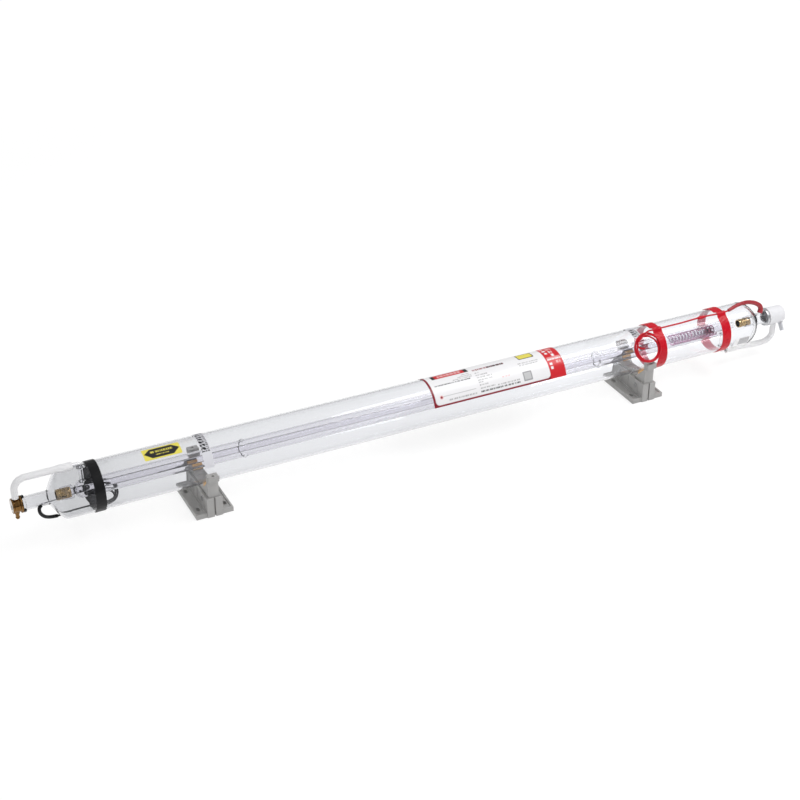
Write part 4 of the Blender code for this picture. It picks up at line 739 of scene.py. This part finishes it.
def field(x, angle, x0, x1, a0, a1, corner=0.0):
    """Share of ink, 1 inside a rounded rectangle and 0 outside: half a step less the distance
    to its edge, where the distance is that to the rectangle less the corner, all in mm."""
    wide = np.abs(x - (x0 + x1) / 2) - (x1 - x0) / 2 + corner
    high = (np.abs(angle - (a0 + a1) / 2) - (a1 - a0) / 2) * MM_PER_DEGREE + corner
    away = np.hypot(np.maximum(wide, 0), np.maximum(high, 0)) + np.minimum(np.maximum(wide, high), 0)
    return np.clip(0.5 - (away - corner) / INK_EDGE, 0, 1)


def marks(x, angle, x0, x1, middle, height, seed, solid=0.0):
    """A row of word-like bars: seeded lengths and gaps, each bar broken into close upright
    strokes by a square wave, unless it is solid."""
    rng = np.random.default_rng(seed)
    ink = np.zeros(np.broadcast(x, angle).shape)
    at = x0
    while at < x1 - 1.0:
        long = min(rng.uniform(3.0, 8.0), x1 - at)
        ink = np.maximum(ink, field(x, angle, at, at + long, middle - height / 2, middle + height / 2))
        at += long + rng.uniform(1.0, 1.8)
    strokes = np.sin(x * 3.9 + seed) * np.sin(x * 1.7 + 2 * seed) > -0.35
    return ink * np.maximum(strokes, solid)


def inked(ground, layers):
    """Colour of the ground, then of each ink in turn by its share."""
    colour = np.array(ground)[None, None, :]
    for share, ink in layers:
        colour = colour + share[..., None] * (np.array(ink) - colour)
    return colour


FILM = finish("label_print", (0.8, 0.8, 0.8), 0.36, cloud=0.05, cloud_scale=40.0, grain_scale=1800.0,
              grain=0.00001, coat=0.2)
ink_colour = add_node(FILM.node_tree, "VertexColor", layer_name="print").outputs["Color"]
feed(FILM.node_tree.nodes["Group"], {"Color": ink_colour})


def printed_film(name, x0, x1, a0, a1, paint, corner):
    """Closed patch of film between two stations and two angles: a fine grid on top that holds
    the print, and the same grid below it, whose edges follow the rounded corners."""
    columns = round((x1 - x0) / PRINT_STEP)
    rows = round((a1 - a0) * MM_PER_DEGREE / PRINT_STEP)
    across, up = np.meshgrid(np.linspace(0, 1, columns), np.linspace(0, 1, rows))
    x, angle = x0 + across * (x1 - x0), a0 + up * (a1 - a0)
    if corner:
        edge = np.minimum(np.minimum(x - x0, x1 - x) / corner, 1)
        inset = corner * (1 - np.sqrt(1 - (1 - edge) ** 2)) / MM_PER_DEGREE
        middle = (a0 + a1) / 2
        angle = middle + (angle - middle) * (1 - inset / (a1 - middle))
    ink = np.broadcast_to(paint(x - x0, angle), (rows, columns, 3))
    top = on_glass(x / 1000, np.radians(angle), FILM_TOP)
    low = on_glass(x / 1000, np.radians(angle), FILM_UNDER)
    points = np.concatenate([top.reshape(-1, 3), low.reshape(-1, 3)])
    ids = np.arange(rows * columns).reshape(rows, columns)
    face = np.stack([ids[:-1, :-1], ids[:-1, 1:], ids[1:, 1:], ids[1:, :-1]], -1).reshape(-1, 4)
    rim = np.concatenate([ids[0, :], ids[1:, -1], ids[-1, -2::-1], ids[-2:0:-1, 0]])
    ahead = np.roll(rim, -1)
    below = rows * columns
    sides = np.stack([rim, rim + below, ahead + below, ahead], -1)
    mesh = bpy.data.meshes.new(name)
    mesh.from_pydata(points.tolist(), [], np.vstack([face, face[:, ::-1] + below, sides]).tolist())
    colours = mesh.color_attributes.new("print", "FLOAT_COLOR", "POINT")
    rgba = np.ones((2, rows * columns, 4), np.float32)
    rgba[0, :, :3] = ink.reshape(-1, 3)
    rgba[1, :, :3] = 0.6
    colours.data.foreach_set("color", rgba.reshape(-1))
    return close_up(in_scene(name, mesh))


PAPER = (0.79, 0.785, 0.80)
DARK_RED = (0.23, 0.008, 0.020)
RED_INK = (0.58, 0.014, 0.022)
BLACK_INK = (0.02, 0.02, 0.02)
GREY_INK = (0.36, 0.35, 0.36)
YELLOW_INK = (0.74, 0.65, 0.10)
PINK_INK = (0.78, 0.45, 0.45)


def data_print(x, angle):
    """Dark red frame, white panel, header, rules, marks, a yellow field and a red end field."""
    def row(x0, x1, middle, height, seed, solid=0.0):
        return marks(x, angle, x0, x1, middle, height, seed, solid)

    layers = [(field(x, angle, 4, 226, 17.5, 140, 7), PAPER),
              (field(x, angle, 14, 83, 88, 107, 1), BLACK_INK),
              (field(x, angle, 20, 76, 88.5, 106.5, 1), RED_INK),
              (row(26, 72, 97, 9, 3, 0.6), PINK_INK),
              (row(90, 152, 87, 6.5, 2), DARK_RED), (row(118, 150, 87, 6.5, 4), BLACK_INK),
              (field(x, angle, 180, 210, 84, 110, 2), BLACK_INK),
              (field(x, angle, 181.6, 208.4, 86.5, 107.5, 1.5), YELLOW_INK),
              (row(173, 212, 71, 2.6, 7), GREY_INK), (row(173, 212, 65, 2.6, 8), GREY_INK),
              (row(66, 83, 81, 2.6, 9), GREY_INK), (row(58, 84, 75.5, 2.6, 10), GREY_INK),
              (row(47, 83, 70.5, 2.6, 11), GREY_INK),
              (row(11, 81, 65, 3.0, 12), BLACK_INK),
              (field(x, angle, 19, 82, 35.4, 36.6), GREY_INK),
              (field(x, angle, 12.6, 19.4, 30.4, 39.6, 3.2), PINK_INK),
              (field(x, angle, 14.0, 18.0, 32.3, 37.7, 1.9), DARK_RED),
              (row(29, 82, 25, 3.6, 13), GREY_INK)]
    for number, (end, middle) in enumerate(((98, 75.5), (112, 68), (119, 61), (118, 54), (99, 48.5),
                                            (107, 41.5), (119, 33.5))):
        layers.append((row(90, end, middle, 3.0, 20 + number), GREY_INK))
    layers += [(row(123, 166, 32, 3.0, 30), GREY_INK), (row(90, 166, 25.5, 4.0, 31), BLACK_INK),
               (row(135, 150, 48, 3.0, 32), PINK_INK),
               (field(x, angle, 174, 191, 24, 47, 1), (0.30, 0.30, 0.31)),
               (field(x, angle, 176, 189, 27, 44, 1), (0.52, 0.52, 0.53)),
               (field(x, angle, 226, 268, 10, 140, 0), RED_INK),
               (row(229, 236, 106, 7, 40, 1.0), PINK_INK), (row(230, 236, 94, 7, 41, 1.0), PAPER),
               (row(231, 236, 83, 6, 42, 1.0), PAPER), (row(239, 250, 100, 9, 43), PINK_INK),
               (row(240, 247, 86, 9, 44), PAPER), (row(241, 246, 74, 8, 45, 1.0), PAPER),
               (field(x, angle, 229, 255, 60, 69, 1) * 0.6, PINK_INK),
               (row(229, 256, 62, 4, 46), PAPER), (row(230, 235, 50, 6, 47, 1.0), PAPER),
               (row(243, 252, 53, 7, 48), PINK_INK), (row(230, 236, 40, 7, 49, 1.0), PAPER)]
    return inked(DARK_RED, layers)


def arrow_print(x, angle):
    """Yellow film with one long dark six-sided field, which holds a row of yellow marks."""
    from_middle = np.abs(angle - 75) * MM_PER_DEGREE
    half_height = np.clip((28.8 - np.abs(x - 30.5)) * 0.85, 0, 9.6)
    body = np.clip(0.5 - (from_middle - half_height) / INK_EDGE, 0, 1) * (half_height > 0)
    return inked(YELLOW_INK, [(body, BLACK_INK), (marks(x, angle, 12, 48, 78, 6.0, 50), YELLOW_INK),
                              (marks(x, angle, 20, 42, 69, 2.2, 51), YELLOW_INK)])


FILM_GREY = (0.66, 0.66, 0.70)


def strip_print(low, high):
    """Pale film with a column of bold marks and a column of fine ones between two angles."""
    def paint(x, angle):
        inside = (angle > low) & (angle < high)
        bold = (np.cos((angle - low) * 0.72) > -0.75) & (np.sin(x * 0.9 + angle * 0.5) > -0.85)
        fine = (np.cos(angle * 1.3) > -0.5) & (np.sin(x * 3.4 + angle * 1.3) > -0.7)
        ink = inside & ((bold & (x > 1.2) & (x < 9.5)) | (fine & (x > 10.6) & (x < 14.4)))
        return inked(FILM_GREY, [(ink * 1.0, (0.012, 0.012, 0.014))])
    return paint


def rating_print(x, angle):
    """Whitish film with a fine grey hatch of rows."""
    hatch = (np.sin(angle * 1.15) > 0.0) * (np.sin(x * 2.1) * np.sin(x * 0.9 + angle) > -0.45)
    block = field(x, angle, 9.5, 32.0, -33, -9, 1)
    return inked((0.87, 0.87, 0.88), [(block * 0.7, (0.45, 0.45, 0.47)),
                                      (hatch * block * 0.8, (0.25, 0.25, 0.27))])


for name, node, reach, paint, corner, slot in (
        ("data_print", "data_label", (-22.7, 233.8, 13, 128), data_print, 0, "white_label"),
        ("arrow_print", "arrow_label", (-518.7, -457.7, 58, 92), arrow_print, 1.5, "yellow_label"),
        ("strip_print_1", "support_strip_left", (-429.2, -413.2, 8, 118), strip_print(46, 114), 2.5,
         "grey_label"),
        ("strip_print_2", "support_strip_right", (384.3, 400.3, 62, 118), strip_print(66, 100), 2.5,
         "grey_label"),
        ("rating_print", "rating_sticker", (594.3, 627.3, -42, -8), rating_print, 1.0, "grey_label")):
    settle(printed_film(name, *reach, paint, corner), FILM, slot, node)

# Supports
# Each foot is a moulded plate with a split sleeve, in which a moulded saddle slides up and
# down and is clamped by two cap screws. Soft pads keep the glass off the saddle's posts.
GREY_PLASTIC = finish("grey_plastic", (0.375, 0.37, 0.365), 0.46, cloud=0.14, cloud_scale=50.0,
                      grain_scale=1300.0, grain=0.00005)
ORANGE_RUBBER = finish("orange_rubber", (0.76, 0.47, 0.22), 0.60, cloud=0.25, grain_scale=900.0)
CLAMP_STEEL = finish("clamp_steel", (0.45, 0.45, 0.46), 0.32, 1.0, cloud=0.25)


def softened(node, width=0.0005):
    """The solid's own shape as one merged mesh, with every edge broken by a small round."""
    source = frame["nodes"][node]
    mesh = source.data.copy()
    bm = bmesh.new()
    bm.from_mesh(mesh)
    bmesh.ops.remove_doubles(bm, verts=bm.verts, dist=1e-5)
    bmesh.ops.dissolve_limit(bm, angle_limit=math.radians(1), verts=bm.verts, edges=bm.edges)
    bm.to_mesh(mesh)
    bm.free()
    piece = in_scene(node + "_moulded", mesh)
    mesh.shade_smooth()
    mesh.set_sharp_from_angle(angle=CREASE)
    rounding = piece.modifiers.new("edge", "BEVEL")
    rounding.width = width
    rounding.segments = 2
    rounding.limit_method = "ANGLE"
    rounding.angle_limit = CREASE
    rounding.harden_normals = True
    return piece


for side in ("left", "right"):
    foot = "base_" + side
    settle(softened(foot), GREY_PLASTIC, "grey_plastic", foot, body=foot)
    settle(softened("cradle_" + side), GREY_PLASTIC, "grey_plastic", "cradle_" + side)
    for place in ("front", "back"):
        pad = f"pad_{place}_{side}"
        settle(softened(pad), ORANGE_RUBBER, "orange_rubber", pad)
        for metal in (f"clamp_bolt_{place}_{side}", f"clamp_nut_{place}_{side}"):
            settle(softened(metal, 0.0002), CLAMP_STEEL, "clamp_steel", metal, body=foot)

# Floor and light
# A plain white floor under a large soft lamp, with a weak one from the other side. A foot that
# its slide lets down takes the floor down with it, to the lower of the two feet.
WHITE = (1.0, 1.0, 1.0, 1.0)
FLOOR_GLOW = 0.74
ROOM = 0.74
floor = in_scene("floor", bpy.data.meshes.new("floor"))
floor.data.from_pydata([(-30, -30, 0), (30, -30, 0), (30, 30, 0), (-30, 30, 0)], [], [(0, 1, 2, 3)])
for foot in ("base_left", "base_right"):
    under = floor.constraints.new("FLOOR")
    under.target = frame["bodies"][foot]
    under.floor_location = "FLOOR_NEGATIVE_Z"
paper = bpy.data.materials.new("white_floor")
paper.use_nodes = True
floor.data.materials.append(paper)
tree = paper.node_tree
matt = feed(tree.nodes["Principled BSDF"], {"Base Color": (0.93, 0.93, 0.93, 1.0), "Roughness": 0.9})
glow = add_node(tree, "Emission", {"Color": WHITE, "Strength": 1.06})

# Camera, glossy and transmission rays see most of the floor's own glow. Far from the object the
# camera sees nothing else, so that no horizon shows
ray = add_node(tree, "LightPath").outputs
seen = maths(tree, "ADD", ray["Is Camera Ray"], ray["Is Glossy Ray"], clamp=True)
seen = maths(tree, "ADD", seen, ray["Is Transmission Ray"], clamp=True)
away = add_node(tree, "VectorMath", {0: add_node(tree, "TexCoord").outputs["Object"]}, operation="LENGTH")
far = add_node(tree, "MapRange", {"Value": away.outputs["Value"], "From Min": 1.6, "From Max": 3.6,
                                  "To Max": 1 - FLOOR_GLOW})
share = maths(tree, "MULTIPLY_ADD", far.outputs["Result"], ray["Is Camera Ray"],
              maths(tree, "MULTIPLY", seen, FLOOR_GLOW))
floor_mix = add_node(tree, "MixShader", {"Fac": share, 1: matt.outputs[0], 2: glow.outputs[0]})
feed(tree.nodes["Material Output"], {"Surface": floor_mix.outputs[0]})

# Reflections see a grey room that is darker near the horizon, which gives metal its dark
# lines; it lights the rest evenly, and camera rays see plain white
world = bpy.data.worlds.new("studio")
bpy.context.scene.world = world
world.use_nodes = True
tree = world.node_tree
height = add_node(tree, "SeparateXYZ", {0: add_node(tree, "TexCoord").outputs["Generated"]})
level = add_node(tree, "MapRange", {"Value": height.outputs["Z"], "From Min": 0.05, "From Max": 0.45,
                                    "To Min": 0.08, "To Max": 0.45}, interpolation_type="SMOOTHSTEP")
ray = add_node(tree, "LightPath").outputs
lit = maths(tree, "MAXIMUM", ray["Is Diffuse Ray"], ray["Is Transmission Ray"])
lit = maths(tree, "MULTIPLY", lit, ROOM)
room = feed(tree.nodes["Background"], {
    "Color": WHITE, "Strength": maths(tree, "MAXIMUM", lit, level.outputs["Result"])})
plain = add_node(tree, "Background", {"Color": WHITE})
world_mix = add_node(tree, "MixShader", {"Fac": ray["Is Camera Ray"], 1: room.outputs[0],
                                         2: plain.outputs[0]})
feed(tree.nodes["World Output"], {"Surface": world_mix.outputs[0]})

for name, place, power, size in (("key", (1.5, -0.6, 2.5), 42.0, 1.6),
                                 ("fill", (-1.6, -1.6, 1.8), 5.0, 2.0)):
    lamp = in_scene(name, bpy.data.lights.new(name, "AREA"))
    lamp.data.energy = power
    lamp.data.shape = "DISK"
    lamp.data.size = size
    lamp.location = place
    aim = np.array(place) - (0, 0, AXIS)
    lamp.rotation_euler = (math.acos(aim[2] / np.linalg.norm(aim)), 0, math.atan2(aim[0], -aim[1]))
bpy.context.scene.view_settings.view_transform = "Standard"
